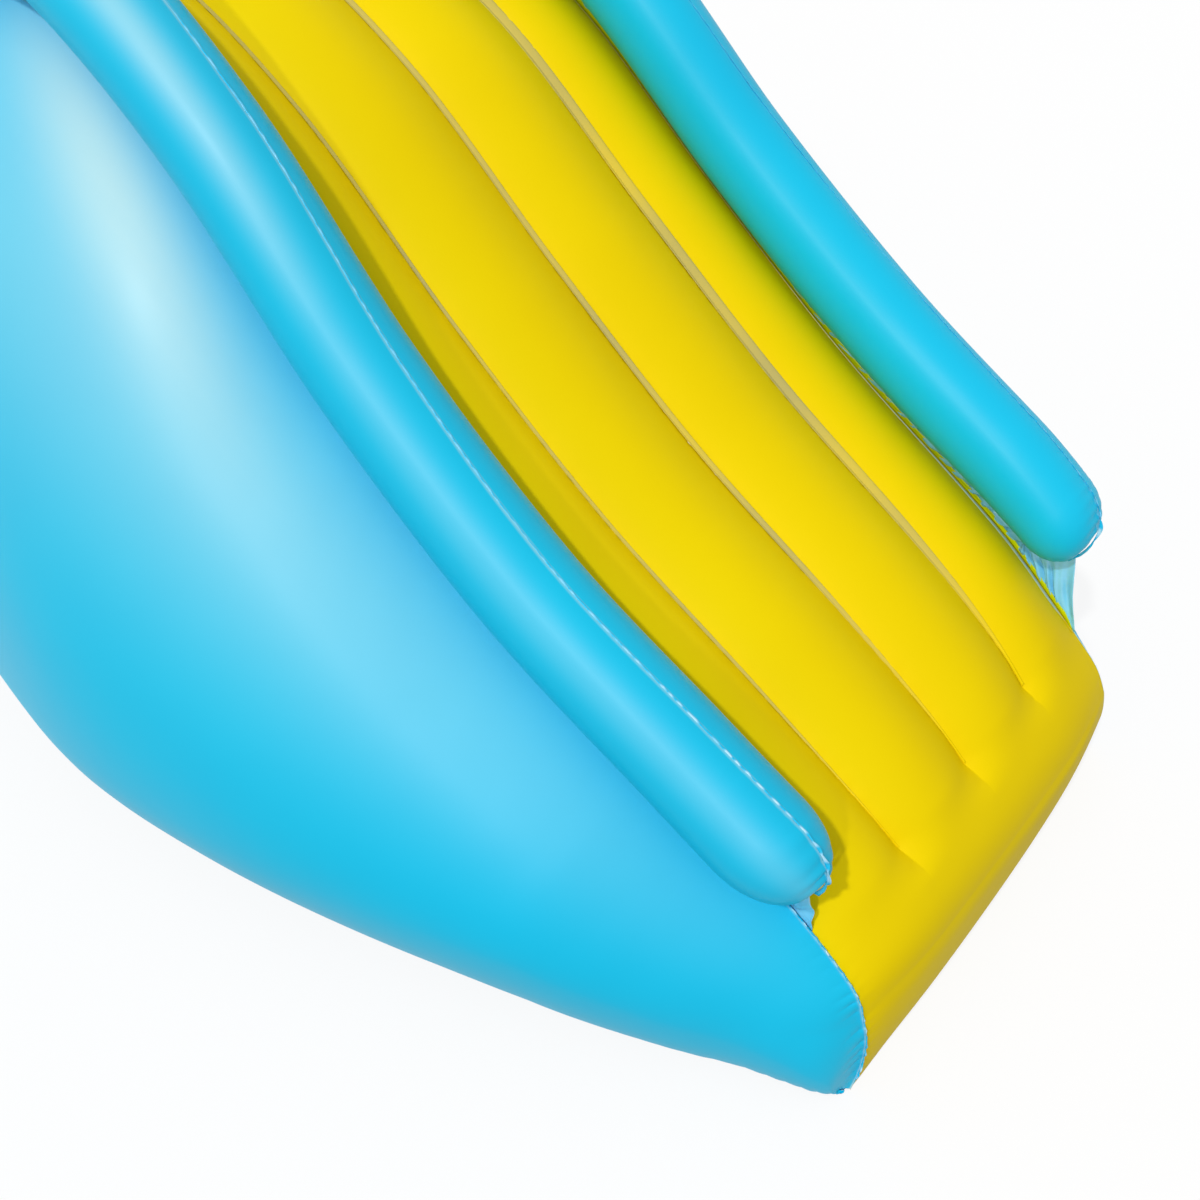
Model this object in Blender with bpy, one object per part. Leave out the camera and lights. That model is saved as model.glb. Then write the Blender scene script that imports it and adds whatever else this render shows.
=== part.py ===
"""Inflatable pool slide: welded film panels, two side rails, ladder steps, handles, valves and spray pipe.

Metres, +Z up, nose towards -Y, origin on the ground under the middle. Run in Blender 4.5.
Every panel is a thin film skin cut and welded along shared seams, so the air spaces stay open.
"""

import math
from collections import namedtuple
from functools import lru_cache

import bmesh
import bpy
from mathutils import Matrix, Vector

# Overall sizes
SLIDE_LENGTH = 3.33
CREST_HEIGHT = 1.09
BODY_HALF_WIDTH = 0.83
BED_HALF_WIDTH = 0.37
FILM = 0.0006
GAP = 0.0003
CUT_OVERRUN = 0.01
SEAM_GAP = FILM / 2 + GAP
MERGE_DISTANCE = 0.00003
SHARP_ANGLE = 40

# The nose is drawn back towards its left end, and a little more at the ground
NOSE_SKEW = 0.034
NOSE_TUCK = 0.016
TIP_SKEW = 0.018
TUCK_HEIGHT = 0.15
SKEW_START = 1.36
SKEW_LENGTH = 0.29
SKEW_POWER = 2.5
SKEW_HALF_SHARE = 1.06

# Bed
CHANNEL_CROWN = 0.032
CHANNEL_STEPS = 5
GROOVE_SHARE = 0.5
GROOVE_SPREAD_SHARE = 0.047
OUTER_FLAT_SHARE = 0.45
BAFFLE_CLEARANCE = 0.0018

# Ladder panel
LADDER_STRIPS = 8
LADDER_EDGE_SHARE = 0.25

# Side panels
BULGE_HEIGHT = 0.2
BULGE_SHARE = 0.5
SHOULDER_SHARE = 1.12
WIDEST_SHARE = 2 / 3
TUCK_SHARE = 0.8
PANEL_STEPS = 9

# Rails and their webs
RAIL_RADIUS = 0.0725
RAIL_SIDES = 12
RAIL_CAP_STEPS = 4
WEB_CLEARANCE = 0.0008
TUBE_RESOLUTION = 4

# Ladder steps
STEP_COUNT = 4
STEP_HALF_LENGTH = 0.235
STEP_HALF_WIDTH = 0.052
STEP_HEIGHT = 0.062
STEP_SEAT = 0.0005
STEP_STRIPS = 10
STEP_TURNS = 8
STEP_END_POWER = 6
STEP_TAPER_POWER = 4
STEP_TAPER_SHARE = 0.2

# Handles
HANDLE_RADIUS = 0.009
HANDLE_RISE = 0.085
HANDLE_POINTS = 13
HANDLE_ARCH_POWER = 3
HANDLE_CELL = 5
PATCH_LENGTH = 0.062
PATCH_WIDTH = 0.036
PATCH_THICKNESS = 0.0015

# Air valves and the drain
NECK_RADIUS = 0.0105
BORE_RADIUS = 0.008
FLANGE_RADIUS = 0.021
FLANGE_THICKNESS = 0.0015
NECK_RISE = 0.008
NECK_DEPTH = 0.012
PORT_CLEARANCE = 0.0008
CAP_RADIUS = 0.0115
CAP_THICKNESS = 0.0016
PLUG_RADIUS = 0.0058
PLUG_DEPTH = 0.002
HINGE_REACH = 0.0155
HINGE_WIDTH = 0.006
LUG_LENGTH = 0.002
FLAP_RADIUS = 0.0093
FLAP_THICKNESS = 0.0008
FLAP_REACH = 0.0112
ROUND_STEPS = 20
RAIL_VALVE_CELL = 8

# Spray pipe and hose nut
PIPE_RADIUS = 0.011
PIPE_HALF_LENGTH = 0.2
PIPE_BEND = 0.035
PIPE_SEAT_SHARE = 0.96
PIPE_TAIL = 0.05
BEND_STEPS = 6
SPIGOT_RADIUS = 0.0085
SPIGOT_BORE = 0.006
SPIGOT_LENGTH = 0.03
NUT_BORE = 0.0095
NUT_RADIUS = 0.0155
NUT_LENGTH = 0.018
NUT_RIBS = 12
RIB_HEIGHT = 0.001
COLLAR_RADIUS = 0.0125
COLLAR_LENGTH = 0.003

# Tie-down tabs
TAB_LENGTH = 0.11
TAB_WIDTH = 0.06
TAB_THICKNESS = 0.0008
TAB_LIFT = 0.0006
EYELET_BORE = 0.006
EYELET_NECK = 0.0075
EYELET_RADIUS = 0.012
EYELET_THICKNESS = 0.0005
EYELET_DROP = 0.00045
TAB_ROUND_STEPS = 8
EYELET_INSET = 0.022

# One row per station, from the nose's ground seam over the crest to the ladder's ground seam.
# Shares of the length, the crest height, the bed's and the body's half width and the rail's radius:
# centre line y, z; bed seam y, z, x; widest outline y, x; the rail's height off the seam and its outset.
STATION_SHARES = (
    (0.003, 0.000, 0.002, 0.000, 1.054, 0.005, 0.480, 1.20, 0.30),
    (0.000, 0.046, 0.002, 0.041, 1.014, 0.005, 0.500, 1.20, 0.30),
    (0.000, 0.096, 0.003, 0.094, 1.000, 0.007, 0.520, 1.20, 0.30),
    (0.002, 0.144, 0.007, 0.138, 0.995, 0.014, 0.545, 1.20, 0.30),
    (0.011, 0.187, 0.014, 0.178, 0.995, 0.026, 0.570, 1.00, 0.30),
    (0.027, 0.225, 0.029, 0.216, 0.995, 0.044, 0.606, 0.70, 0.30),
    (0.051, 0.282, 0.053, 0.265, 0.995, 0.074, 0.678, 0.46, 0.32),
    (0.106, 0.380, 0.106, 0.364, 0.995, 0.122, 0.777, 0.20, 0.38),
    (0.189, 0.519, 0.189, 0.503, 1.005, 0.194, 0.876, 0.08, 0.42),
    (0.272, 0.697, 0.272, 0.680, 1.005, 0.269, 0.952, 0.06, 0.32),
    (0.355, 0.889, 0.355, 0.872, 0.989, 0.344, 0.990, 0.32, 0.16),
    (0.438, 0.995, 0.438, 0.979, 0.968, 0.416, 0.964, 0.62, 0.10),
    (0.521, 0.993, 0.521, 0.976, 0.946, 0.494, 0.898, 0.66, 0.14),
    (0.596, 0.980, 0.596, 0.963, 0.946, 0.596, 0.837, 0.60, 0.14),
    (0.653, 0.945, 0.653, 0.928, 0.946, 0.671, 0.783, 0.40, 0.12),
    (0.704, 0.867, 0.704, 0.850, 0.946, 0.737, 0.735, 0.16, 0.10),
    (0.761, 0.729, 0.761, 0.713, 0.946, 0.800, 0.693, 0.08, 0.00),
    (0.866, 0.440, 0.866, 0.424, 0.946, 0.890, 0.627, 0.08, 0.00),
    (0.962, 0.179, 0.962, 0.162, 1.000, 0.956, 0.584, 0.08, 0.00),
    (0.992, 0.101, 0.988, 0.087, 1.081, 0.980, 0.566, 0.08, 0.00),
    (1.000, 0.046, 0.997, 0.037, 1.135, 0.992, 0.548, 0.08, 0.00),
    (0.995, 0.000, 0.995, 0.000, 1.189, 0.995, 0.536, 0.08, 0.00),
)

# Stations, counted in rows of the table above
LAST = len(STATION_SHARES) - 1
HALF_ROW = 0.5
SMALL_ROW = 0.004
PANEL_ENDS = (0.5, LAST - 0.5)
BED_TOP = 14
GROOVE_END = 5
GROOVE_FADE = 0.6
CREST_ROW = 12
CROWN_FADE = 2.3
TOP_FADE = 1.5
RAIL_TIP = 6.05
RAIL_TIP_ROUND = 0.5
RAIL_TAIL = 17.6
RAIL_TAIL_ROUND = 0.25
WEB_FOOT = 5.5
WEB_TOP_END = 17
BAFFLE_ENDS = (5.5, 12.5)
FIRST_STEP = 16.25
HANDLE_ROWS = (13.25, 14.25)
RAIL_VALVE_ROW = 16.25
LADDER_VALVE_ROW = 18.25
LADDER_VALVE_SHARE = 0.42
TAB_ROWS = (11.25, 16.25)
PIPE_ROW = 13.5

BLUE = ((0.0, 0.50, 0.86), 0.28, 0.0)
YELLOW = ((0.80, 0.65, 0.0), 0.34, 0.0)
PALE_FILM = ((0.42, 0.76, 0.90), 0.25, 0.0)
BASE_BLUE = ((0.05, 0.30, 0.55), 0.45, 0.0)
WHITE = ((0.86, 0.88, 0.88), 0.4, 0.0)
BRASS = ((0.72, 0.52, 0.22), 0.3, 1.0)

Station = namedtuple("Station", "centre seam outline lift outset")


def material(name, finish):
    color, roughness, metallic = finish
    made = bpy.data.materials.get(name) or bpy.data.materials.new(name)
    made.use_nodes = True
    shader = made.node_tree.nodes["Principled BSDF"]
    shader.inputs["Base Color"].default_value = (*color, 1)
    shader.inputs["Roughness"].default_value = roughness
    shader.inputs["Metallic"].default_value = metallic
    return made


def mesh_object(name, bm, finish, matrix=None, smooth=True):
    """Turn a bmesh into a named object with its own material."""
    mesh = bpy.data.meshes.new(name)
    bm.to_mesh(mesh)
    bm.free()
    mesh.materials.append(material(name, finish))
    made = bpy.data.objects.new(name, mesh)
    if matrix is not None:
        made.matrix_world = matrix
    bpy.context.collection.objects.link(made)
    if smooth:
        mesh.shade_smooth()
        mesh.set_sharp_from_angle(angle=math.radians(SHARP_ANGLE))
    return made


def cutter(name, bm, matrix):
    made = mesh_object(name, bm, WHITE, matrix, smooth=False)
    made.hide_render = True
    made.display_type = "WIRE"
    return made


def boolean(target, tool, operation):
    change = target.modifiers.new(operation.lower(), "BOOLEAN")
    change.operation = operation
    change.object = tool


@lru_cache(maxsize=None)
def station(v):
    """Read the table at any station, on a smooth curve through its rows."""
    rows = STATION_SHARES
    i = min(int(v), LAST - 1)
    t = v - i
    around = [rows[max(0, min(LAST, k))] for k in range(i - 1, i + 3)]
    shares = [
        0.5 * (2 * b + (c - a) * t + (2 * a - 5 * b + 4 * c - d) * t**2 + (3 * b - a - 3 * c + d) * t**3)
        for a, b, c, d in zip(*around)
    ]
    cy, cz, sy, sz, sx, wy, wx, lift, outset = shares
    nose = -SLIDE_LENGTH / 2
    return Station(
        Vector((0, nose + cy * SLIDE_LENGTH, max(cz, 0) * CREST_HEIGHT)),
        Vector((sx * BED_HALF_WIDTH, nose + sy * SLIDE_LENGTH, max(sz, 0) * CREST_HEIGHT)),
        Vector((wx * BODY_HALF_WIDTH, nose + wy * SLIDE_LENGTH, 0)),
        lift * RAIL_RADIUS,
        outset * RAIL_RADIUS,
    )


def upward(v, line):
    """Unit normal of the centre line or of the seam, in the plane of the slide's length."""
    before = getattr(station(max(v - SMALL_ROW, 0)), line)
    after = getattr(station(min(v + SMALL_ROW, LAST)), line)
    step = after - before
    return Vector((0, -step.z, step.y)).normalized()


def rows_between(start, end):
    """Stations at every half row, with both ends."""
    inner = [k * HALF_ROW for k in range(int(LAST / HALF_ROW) + 1) if start < k * HALF_ROW < end]
    return [start, *inner, end]


def ramp(value, start, length):
    return max(0.0, min(1.0, (value - start) / length))


def drawn_back(point):
    """Lean of the nose: its left end and the left rail's tip lie further back than the right ones."""
    near = ramp(-point.y, SKEW_START, SKEW_LENGTH)
    half = SKEW_HALF_SHARE * BED_HALF_WIDTH
    across = ramp(point.x, -half, 2 * half)
    back = (NOSE_SKEW + NOSE_TUCK * (1 - ramp(point.z, 0, TUCK_HEIGHT))) * across**SKEW_POWER
    back += TIP_SKEW * (2 * across - 1) * ramp(point.z, TUCK_HEIGHT, TUCK_HEIGHT)
    return point + Vector((0, back * near**2 * (3 - 2 * near), 0))


def sheet_mesh(across, rows, place):
    """A grid of across cells by the given rows, each corner put where place(share, row) says."""
    bm = bmesh.new()
    made = bmesh.ops.create_grid(bm, x_segments=across, y_segments=len(rows) - 1, size=0.5)
    for vert in made["verts"]:
        share = round((vert.co.x + 0.5) * across) / across
        row = rows[round((vert.co.y + 0.5) * (len(rows) - 1))]
        vert.co = drawn_back(place(share, row))
    bmesh.ops.remove_doubles(bm, verts=bm.verts, dist=MERGE_DISTANCE)
    bmesh.ops.dissolve_degenerate(bm, edges=bm.edges, dist=MERGE_DISTANCE)
    return bm


def skin(name, bm, finish, flip=False, centred=False):
    """Give a sheet its film thickness, inwards from the outer face."""
    if flip:
        bmesh.ops.reverse_faces(bm, faces=bm.faces)
    made = mesh_object(name, bm, finish)
    solid = made.modifiers.new("film", "SOLIDIFY")
    solid.thickness = FILM
    solid.offset = 0 if centred else -1
    return made


def groove_x(v, half):
    spread = math.sin(math.pi * ramp(v, GROOVE_END, CREST_ROW - GROOVE_END))
    return half * (GROOVE_SHARE + GROOVE_SPREAD_SHARE * spread)


def bed_point(share, v):
    """Bed surface: four crowned channels that merge into a plain roll at the nose."""
    here = station(v)
    side = 2 * share - 1
    half = here.seam.x - SEAM_GAP
    groove = groove_x(v, half)
    outer = abs(side) > 0.5
    t = (abs(side) - 0.5) * 2 if outer else abs(side) * 2
    x = groove + (half - groove) * t if outer else groove * t
    fall = t**2 if outer else 0.0
    arc = 4 * t * (1 - t) * (1 - OUTER_FLAT_SHARE * t if outer else 1)
    grooved = ramp(v, GROOVE_END - GROOVE_FADE / 2, GROOVE_FADE)
    crown_start = GROOVE_END + GROOVE_FADE / 2 - CROWN_FADE
    crown = CHANNEL_CROWN * ramp(v, crown_start, CROWN_FADE) * ramp(BED_TOP - v, 0, TOP_FADE)
    point = here.centre.lerp(Vector((0, here.seam.y, here.seam.z)), fall)
    point += upward(v, "centre") * crown * (arc * grooved + (1 - fall) * (1 - grooved))
    return Vector((math.copysign(x, side), point.y, max(point.z, 0)))


def panel_point(share, v):
    """Right-hand half of the body's side: a bulging flank from the bed seam to the ground."""
    here = station(v)
    seam = here.seam + Vector((SEAM_GAP, 0, 0))
    widest = min(BULGE_HEIGHT, BULGE_SHARE * seam.z)
    reach = here.outline - Vector((seam.x, seam.y, 0))
    if share < WIDEST_SHARE:
        angle = math.radians(90) * share / WIDEST_SHARE
        spot = seam + reach * math.sin(angle) ** SHOULDER_SHARE
        spot.z = widest + (seam.z - widest) * max(math.cos(angle), 0) ** SHOULDER_SHARE
        return spot
    angle = math.radians(90) * (share - WIDEST_SHARE) / (1 - WIDEST_SHARE)
    tuck = min(TUCK_SHARE * widest, reach.length / 2)
    spot = Vector((seam.x, seam.y, 0)) + reach - reach.normalized() * tuck * (1 - math.cos(angle))
    spot.z = widest - (widest - FILM) * math.sin(angle)
    return spot


def ladder_point(share, v):
    """Ladder side of the body, flat across with rounded edges."""
    here = station(v)
    side = 2 * share - 1
    half = here.seam.x - SEAM_GAP
    fall = ramp(abs(side), 1 - LADDER_EDGE_SHARE, LADDER_EDGE_SHARE) ** 2
    point = here.centre.lerp(Vector((0, here.seam.y, here.seam.z)), fall)
    return Vector((side * half, point.y, point.z))


def rail_swell(v):
    """Radius share along a rail: one, falling to nothing in the round ends."""
    near = min(ramp(v, RAIL_TIP, RAIL_TIP_ROUND), ramp(-v, -RAIL_TAIL, RAIL_TAIL_ROUND))
    return math.sqrt(max(0.0, 1 - (1 - near) ** 2))


def rail_frame(v):
    here = station(v)
    normal = upward(v, "seam")
    centre = here.seam + normal * (RAIL_RADIUS + here.lift) + Vector((here.outset, 0, 0))
    return centre, normal, math.asin(here.outset / RAIL_RADIUS)


def rail_point(share, v, extra=0.0):
    """Right-hand rail; share 0 is the line where its web is welded."""
    centre, normal, weld = rail_frame(v)
    angle = weld + math.radians(360) * share
    radius = RAIL_RADIUS * rail_swell(v) + extra
    return centre - radius * (math.cos(angle) * normal + math.sin(angle) * Vector((1, 0, 0)))


def web_point(share, ends):
    """Film strip between a station of the bed seam and a station of the rail."""
    foot, head = ends
    low = station(foot).seam + upward(foot, "seam") * WEB_CLEARANCE
    return low.lerp(rail_point(0, head, WEB_CLEARANCE), share)


def mirror_vector(point, side):
    return Vector((side * point.x, point.y, point.z))


def build_bed():
    rows = rows_between(0, BED_TOP)
    bm = sheet_mesh(4 * CHANNEL_STEPS, rows, bed_point)
    skin("bed_sheet", bm, YELLOW)


def build_side_panel(name, side):
    rows = rows_between(*PANEL_ENDS)
    bm = sheet_mesh(PANEL_STEPS, rows, lambda share, v: mirror_vector(panel_point(share, v), side))
    skin(name, bm, BLUE, flip=side < 0)


def build_ladder_panel():
    rows = rows_between(BED_TOP + SMALL_ROW, LAST)
    bm = sheet_mesh(LADDER_STRIPS, rows, ladder_point)
    return skin("ladder_panel", bm, BLUE)


def build_base_sheet():
    """Ground sheet: the outline of the side panels' lower seams, closed across the nose and the ladder."""
    bm = bmesh.new()
    inset = FILM + 3 * GAP
    seam = [panel_point(1, v) for v in rows_between(*PANEL_ENDS)]
    edge = []
    for k, spot in enumerate(seam):
        along = seam[min(k + 1, len(seam) - 1)] - seam[max(k - 1, 0)]
        edge.append(spot + Vector((-along.y, along.x, 0)).normalized() * inset)
    tip, heel = station(0), station(LAST)
    nose = max(tip.centre.y, tip.seam.y) + inset
    rear = min(heel.centre.y, heel.seam.y) - inset
    edge = [Vector((p.x, p.y, 0)) for p in edge if nose + inset < p.y < rear - inset]
    edge = [p for k, p in enumerate(edge) if all(p.y > before.y for before in edge[:k])]
    half_nose = min(edge[0].x, tip.seam.x - inset)
    half_rear = min(edge[-1].x, heel.seam.x - inset)
    edge = [Vector((half_nose, nose, 0)), *edge, Vector((half_rear, rear, 0))]
    right = [bm.verts.new(drawn_back(p)) for p in edge]
    left = [bm.verts.new(drawn_back(mirror_vector(p, -1))) for p in reversed(edge)]
    face = bm.faces.new(right + left)
    grown = bmesh.ops.extrude_face_region(bm, geom=[face])
    top = [item for item in grown["geom"] if isinstance(item, bmesh.types.BMVert)]
    bmesh.ops.translate(bm, verts=top, vec=(0, 0, FILM))
    bmesh.ops.recalc_face_normals(bm, faces=bm.faces)
    mesh_object("base_sheet", bm, BASE_BLUE, smooth=False)


def build_baffle(name, place):
    """Inner film wall that holds a groove down to the base sheet; open at both ends for the air."""
    bottom = FILM + GAP

    def wall_point(share, v):
        half = station(v).seam.x - SEAM_GAP
        top = station(v).centre - Vector((0, 0, BAFFLE_CLEARANCE))
        foot = Vector((0, top.y, bottom))
        return foot.lerp(top, share) + Vector((place * groove_x(v, half), 0, 0))

    bm = sheet_mesh(1, rows_between(*BAFFLE_ENDS), wall_point)
    skin(name, bm, WHITE, centred=True)


def rail_rows():
    """Stations of a rail's rings: close in the round ends, half rows between."""
    bend = [1 - math.cos(math.radians(90) * k / RAIL_CAP_STEPS) for k in range(RAIL_CAP_STEPS)]
    nose = [RAIL_TIP + RAIL_TIP_ROUND * b for b in bend]
    rear = [RAIL_TAIL - RAIL_TAIL_ROUND * b for b in reversed(bend)]
    return [*nose, *rows_between(RAIL_TIP + RAIL_TIP_ROUND, RAIL_TAIL - RAIL_TAIL_ROUND), *rear]


def cell_frame(place, share, rows, side):
    """Middle of a flat cell of a sheet, with its outward normal and its direction along the slide."""
    low, high = rows
    left, right = share
    spots = ((left, low), (right, low), (left, high), (right, high))
    corners = [mirror_vector(place(s, v), side) for s, v in spots]
    middle = sum(corners, Vector()) / 4
    along = (corners[2] + corners[3] - corners[0] - corners[1]).normalized()
    across = corners[1] + corners[3] - corners[0] - corners[2]
    normal = across.cross(along).normalized() * side
    return middle, normal, along


def seat_matrix(middle, normal, along, lift=0.0):
    """Frame on a surface: Z outward, X along the slide."""
    across = normal.cross(along).normalized()
    frame = Matrix((along, across, normal)).transposed().to_4x4()
    frame.translation = middle + normal * lift
    return frame


def build_rail(name, side):
    rows = rail_rows()
    bm = sheet_mesh(RAIL_SIDES, rows, lambda share, v: mirror_vector(rail_point(share, v), side))
    return skin(name, bm, BLUE, flip=side < 0)


def build_web(name, side):
    feet = rows_between(WEB_FOOT, WEB_TOP_END)
    rings = [v for v in rail_rows() if v <= WEB_TOP_END]
    rows = list(zip(feet, rings[-len(feet):]))
    bm = sheet_mesh(1, rows, lambda share, v: mirror_vector(web_point(share, v), side))
    skin(name, bm, PALE_FILM, centred=True)


def build_steps():
    """Half-round treads, open at the back, welded on the ladder panel."""
    for k in range(STEP_COUNT):
        v = FIRST_STEP + k * HALF_ROW
        low, high = v - HALF_ROW / 2, v + HALF_ROW / 2
        start, end = station(low).centre, station(high).centre
        along = (end - start).normalized()
        normal = Vector((0, -along.z, along.y))
        middle = (start + end) / 2 + normal * STEP_SEAT

        def tread(share, turn):
            side = 2 * share - 1
            swell = math.sqrt(1 - side**STEP_END_POWER)
            width = STEP_HALF_WIDTH * (1 - STEP_TAPER_SHARE * side**STEP_TAPER_POWER)
            spot = middle - along * width * math.cos(turn) + normal * STEP_HEIGHT * swell * math.sin(turn)
            return spot + Vector((side * STEP_HALF_LENGTH, 0, 0))

        turns = [math.pi * step / STEP_TURNS for step in range(STEP_TURNS + 1)]
        skin(f"ladder_step_{k + 1}", sheet_mesh(STEP_STRIPS, turns, tread), YELLOW)


def tube(name, points, radius, finish):
    """Round bar along smooth points, with flat ends."""
    curve = bpy.data.curves.new(name, "CURVE")
    curve.dimensions = "3D"
    curve.bevel_depth = radius
    curve.bevel_resolution = TUBE_RESOLUTION
    curve.use_fill_caps = True
    spline = curve.splines.new("POLY")
    spline.points.add(len(points) - 1)
    for spot, point in zip(spline.points, points):
        spot.co = (*point, 1)
    curve.materials.append(material(name, finish))
    made = bpy.data.objects.new(name, curve)
    bpy.context.collection.objects.link(made)
    return made


def box_mesh(size, middle=(0, 0, 0)):
    bm = bmesh.new()
    bmesh.ops.create_cube(bm, size=1)
    bmesh.ops.scale(bm, vec=size, verts=bm.verts)
    bmesh.ops.translate(bm, vec=middle, verts=bm.verts)
    return bm


def build_handle(side_name, side):
    """Arched grip on two welded patches on top of a rail."""
    face = (HANDLE_CELL / RAIL_SIDES, (HANDLE_CELL + 1) / RAIL_SIDES)
    feet = []
    for end, row in zip(("front", "rear"), HANDLE_ROWS):
        rows = (row - HALF_ROW / 2, row + HALF_ROW / 2)
        middle, normal, along = cell_frame(rail_point, face, rows, side)
        if normal.z < 0:
            normal.negate()
        seat = seat_matrix(middle, normal, along, GAP + PATCH_THICKNESS / 2)
        plate = box_mesh((PATCH_LENGTH, PATCH_WIDTH, PATCH_THICKNESS))
        mesh_object(f"{side_name}_handle_{end}_patch", plate, BLUE, seat, smooth=False)
        feet.append((seat @ Vector((0, 0, PATCH_THICKNESS / 2 + GAP)), normal))
    (start, up_start), (end, up_end) = feet
    points = []
    for k in range(HANDLE_POINTS):
        t = k / (HANDLE_POINTS - 1)
        lean = up_start.lerp(up_end, t).normalized()
        rise = HANDLE_RISE * (1 - abs(2 * t - 1) ** HANDLE_ARCH_POWER)
        reach = 0.5 - 0.5 * math.cos(math.pi * t) if 0 < t < 1 else t
        points.append(start.lerp(end, reach) + lean * rise)
    points[1] = start + up_start * (points[1] - start).dot(up_start)
    points[-2] = end + up_end * (points[-2] - end).dot(up_end)
    tube(f"{side_name}_handle", points, HANDLE_RADIUS, WHITE)


def turned_mesh(profile, steps=ROUND_STEPS):
    """Spin a closed outline of (radius, height) points about Z."""
    bm = bmesh.new()
    ring = [bm.verts.new((radius, 0, height)) for radius, height in profile]
    edges = [bm.edges.new((ring[k], ring[(k + 1) % len(ring)])) for k in range(len(ring))]
    bmesh.ops.spin(bm, geom=ring + edges, cent=(0, 0, 0), axis=(0, 0, 1), angle=math.radians(360),
                   steps=steps, use_merge=True)
    bmesh.ops.remove_doubles(bm, verts=bm.verts, dist=MERGE_DISTANCE)
    bmesh.ops.dissolve_degenerate(bm, edges=bm.edges, dist=MERGE_DISTANCE)
    bmesh.ops.recalc_face_normals(bm, faces=bm.faces)
    return bm


def keyhole_mesh(radius, reach, thickness, width=HINGE_WIDTH):
    """Round plate with a hinge arm; the hinge line is at the origin and the plate lies along +X."""
    bm = bmesh.new()
    half = math.asin(width / 2 / radius)
    start = math.pi - half
    spots = [(0, -width / 2), (0, width / 2)]
    for k in range(ROUND_STEPS):
        angle = start - (2 * start) * k / (ROUND_STEPS - 1)
        spots.append((reach + radius * math.cos(angle), radius * math.sin(angle)))
    face = bm.faces.new([bm.verts.new((x, y, 0)) for x, y in reversed(spots)])
    grown = bmesh.ops.extrude_face_region(bm, geom=[face])
    top = [item for item in grown["geom"] if isinstance(item, bmesh.types.BMVert)]
    bmesh.ops.translate(bm, verts=top, vec=(0, 0, thickness))
    bmesh.ops.recalc_face_normals(bm, faces=bm.faces)
    return bm


def build_valve(name, panel, seat, flap=True):
    """Flanged neck through a port in the film, a hinged plug cap and an inner check flap."""
    port = turned_mesh([(0, -CUT_OVERRUN), (NECK_RADIUS + PORT_CLEARANCE, -CUT_OVERRUN),
                        (NECK_RADIUS + PORT_CLEARANCE, CUT_OVERRUN), (0, CUT_OVERRUN)])
    boolean(panel, cutter(f"{name}_port", port, seat), "DIFFERENCE")

    profile = [(BORE_RADIUS, -NECK_DEPTH), (NECK_RADIUS, -NECK_DEPTH), (NECK_RADIUS, 0), (FLANGE_RADIUS, 0),
               (FLANGE_RADIUS, FLANGE_THICKNESS), (NECK_RADIUS, FLANGE_THICKNESS), (NECK_RADIUS, NECK_RISE),
               (BORE_RADIUS, NECK_RISE)]
    base = mesh_object(f"{name}_base", turned_mesh(profile), WHITE, seat)
    lug_height = NECK_RISE - GAP - FLANGE_THICKNESS / 2
    lug = box_mesh((LUG_LENGTH, HINGE_WIDTH, lug_height),
                   (LUG_LENGTH / 2 - HINGE_REACH, 0, FLANGE_THICKNESS / 2 + lug_height / 2))
    boolean(base, cutter(f"{name}_lug", lug, seat), "UNION")

    hinge = seat @ Matrix.Translation((-HINGE_REACH, 0, NECK_RISE + GAP))
    cap = mesh_object(f"{name}_cap", keyhole_mesh(CAP_RADIUS, HINGE_REACH, CAP_THICKNESS), WHITE, hinge)
    half = CAP_THICKNESS / 2
    plug = turned_mesh([(0, -PLUG_DEPTH), (PLUG_RADIUS, -PLUG_DEPTH), (PLUG_RADIUS, half), (0, half)])
    boolean(cap, cutter(f"{name}_plug", plug, hinge @ Matrix.Translation((HINGE_REACH, 0, 0))), "UNION")

    if flap:
        inner = seat @ Matrix.Translation((-FLAP_REACH, 0, -NECK_DEPTH - GAP - FLAP_THICKNESS))
        mesh_object(f"{name}_flap", keyhole_mesh(FLAP_RADIUS, FLAP_REACH, FLAP_THICKNESS), WHITE, inner)


def build_rail_valve(name, rail, side):
    """Air valve on the outer face of a rail, near its lower ladder end."""
    rows = (RAIL_VALVE_ROW - HALF_ROW / 2, RAIL_VALVE_ROW + HALF_ROW / 2)
    face = (RAIL_VALVE_CELL / RAIL_SIDES, (RAIL_VALVE_CELL + 1) / RAIL_SIDES)
    middle, normal, along = cell_frame(rail_point, face, rows, side)
    if normal.x * side < 0:
        normal.negate()
    build_valve(name, rail, seat_matrix(middle, normal, along, GAP))


def build_ladder_valve(name, panel, place, flap):
    rows = (LADDER_VALVE_ROW - HALF_ROW / 2, LADDER_VALVE_ROW + HALF_ROW / 2)
    start, end = (station(v).centre for v in rows)
    along = (end - start).normalized()
    middle = (start + end) / 2 + Vector((place * LADDER_VALVE_SHARE * BED_HALF_WIDTH, 0, 0))
    build_valve(name, panel, seat_matrix(middle, Vector((0, -along.z, along.y)), along, GAP), flap)


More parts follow.
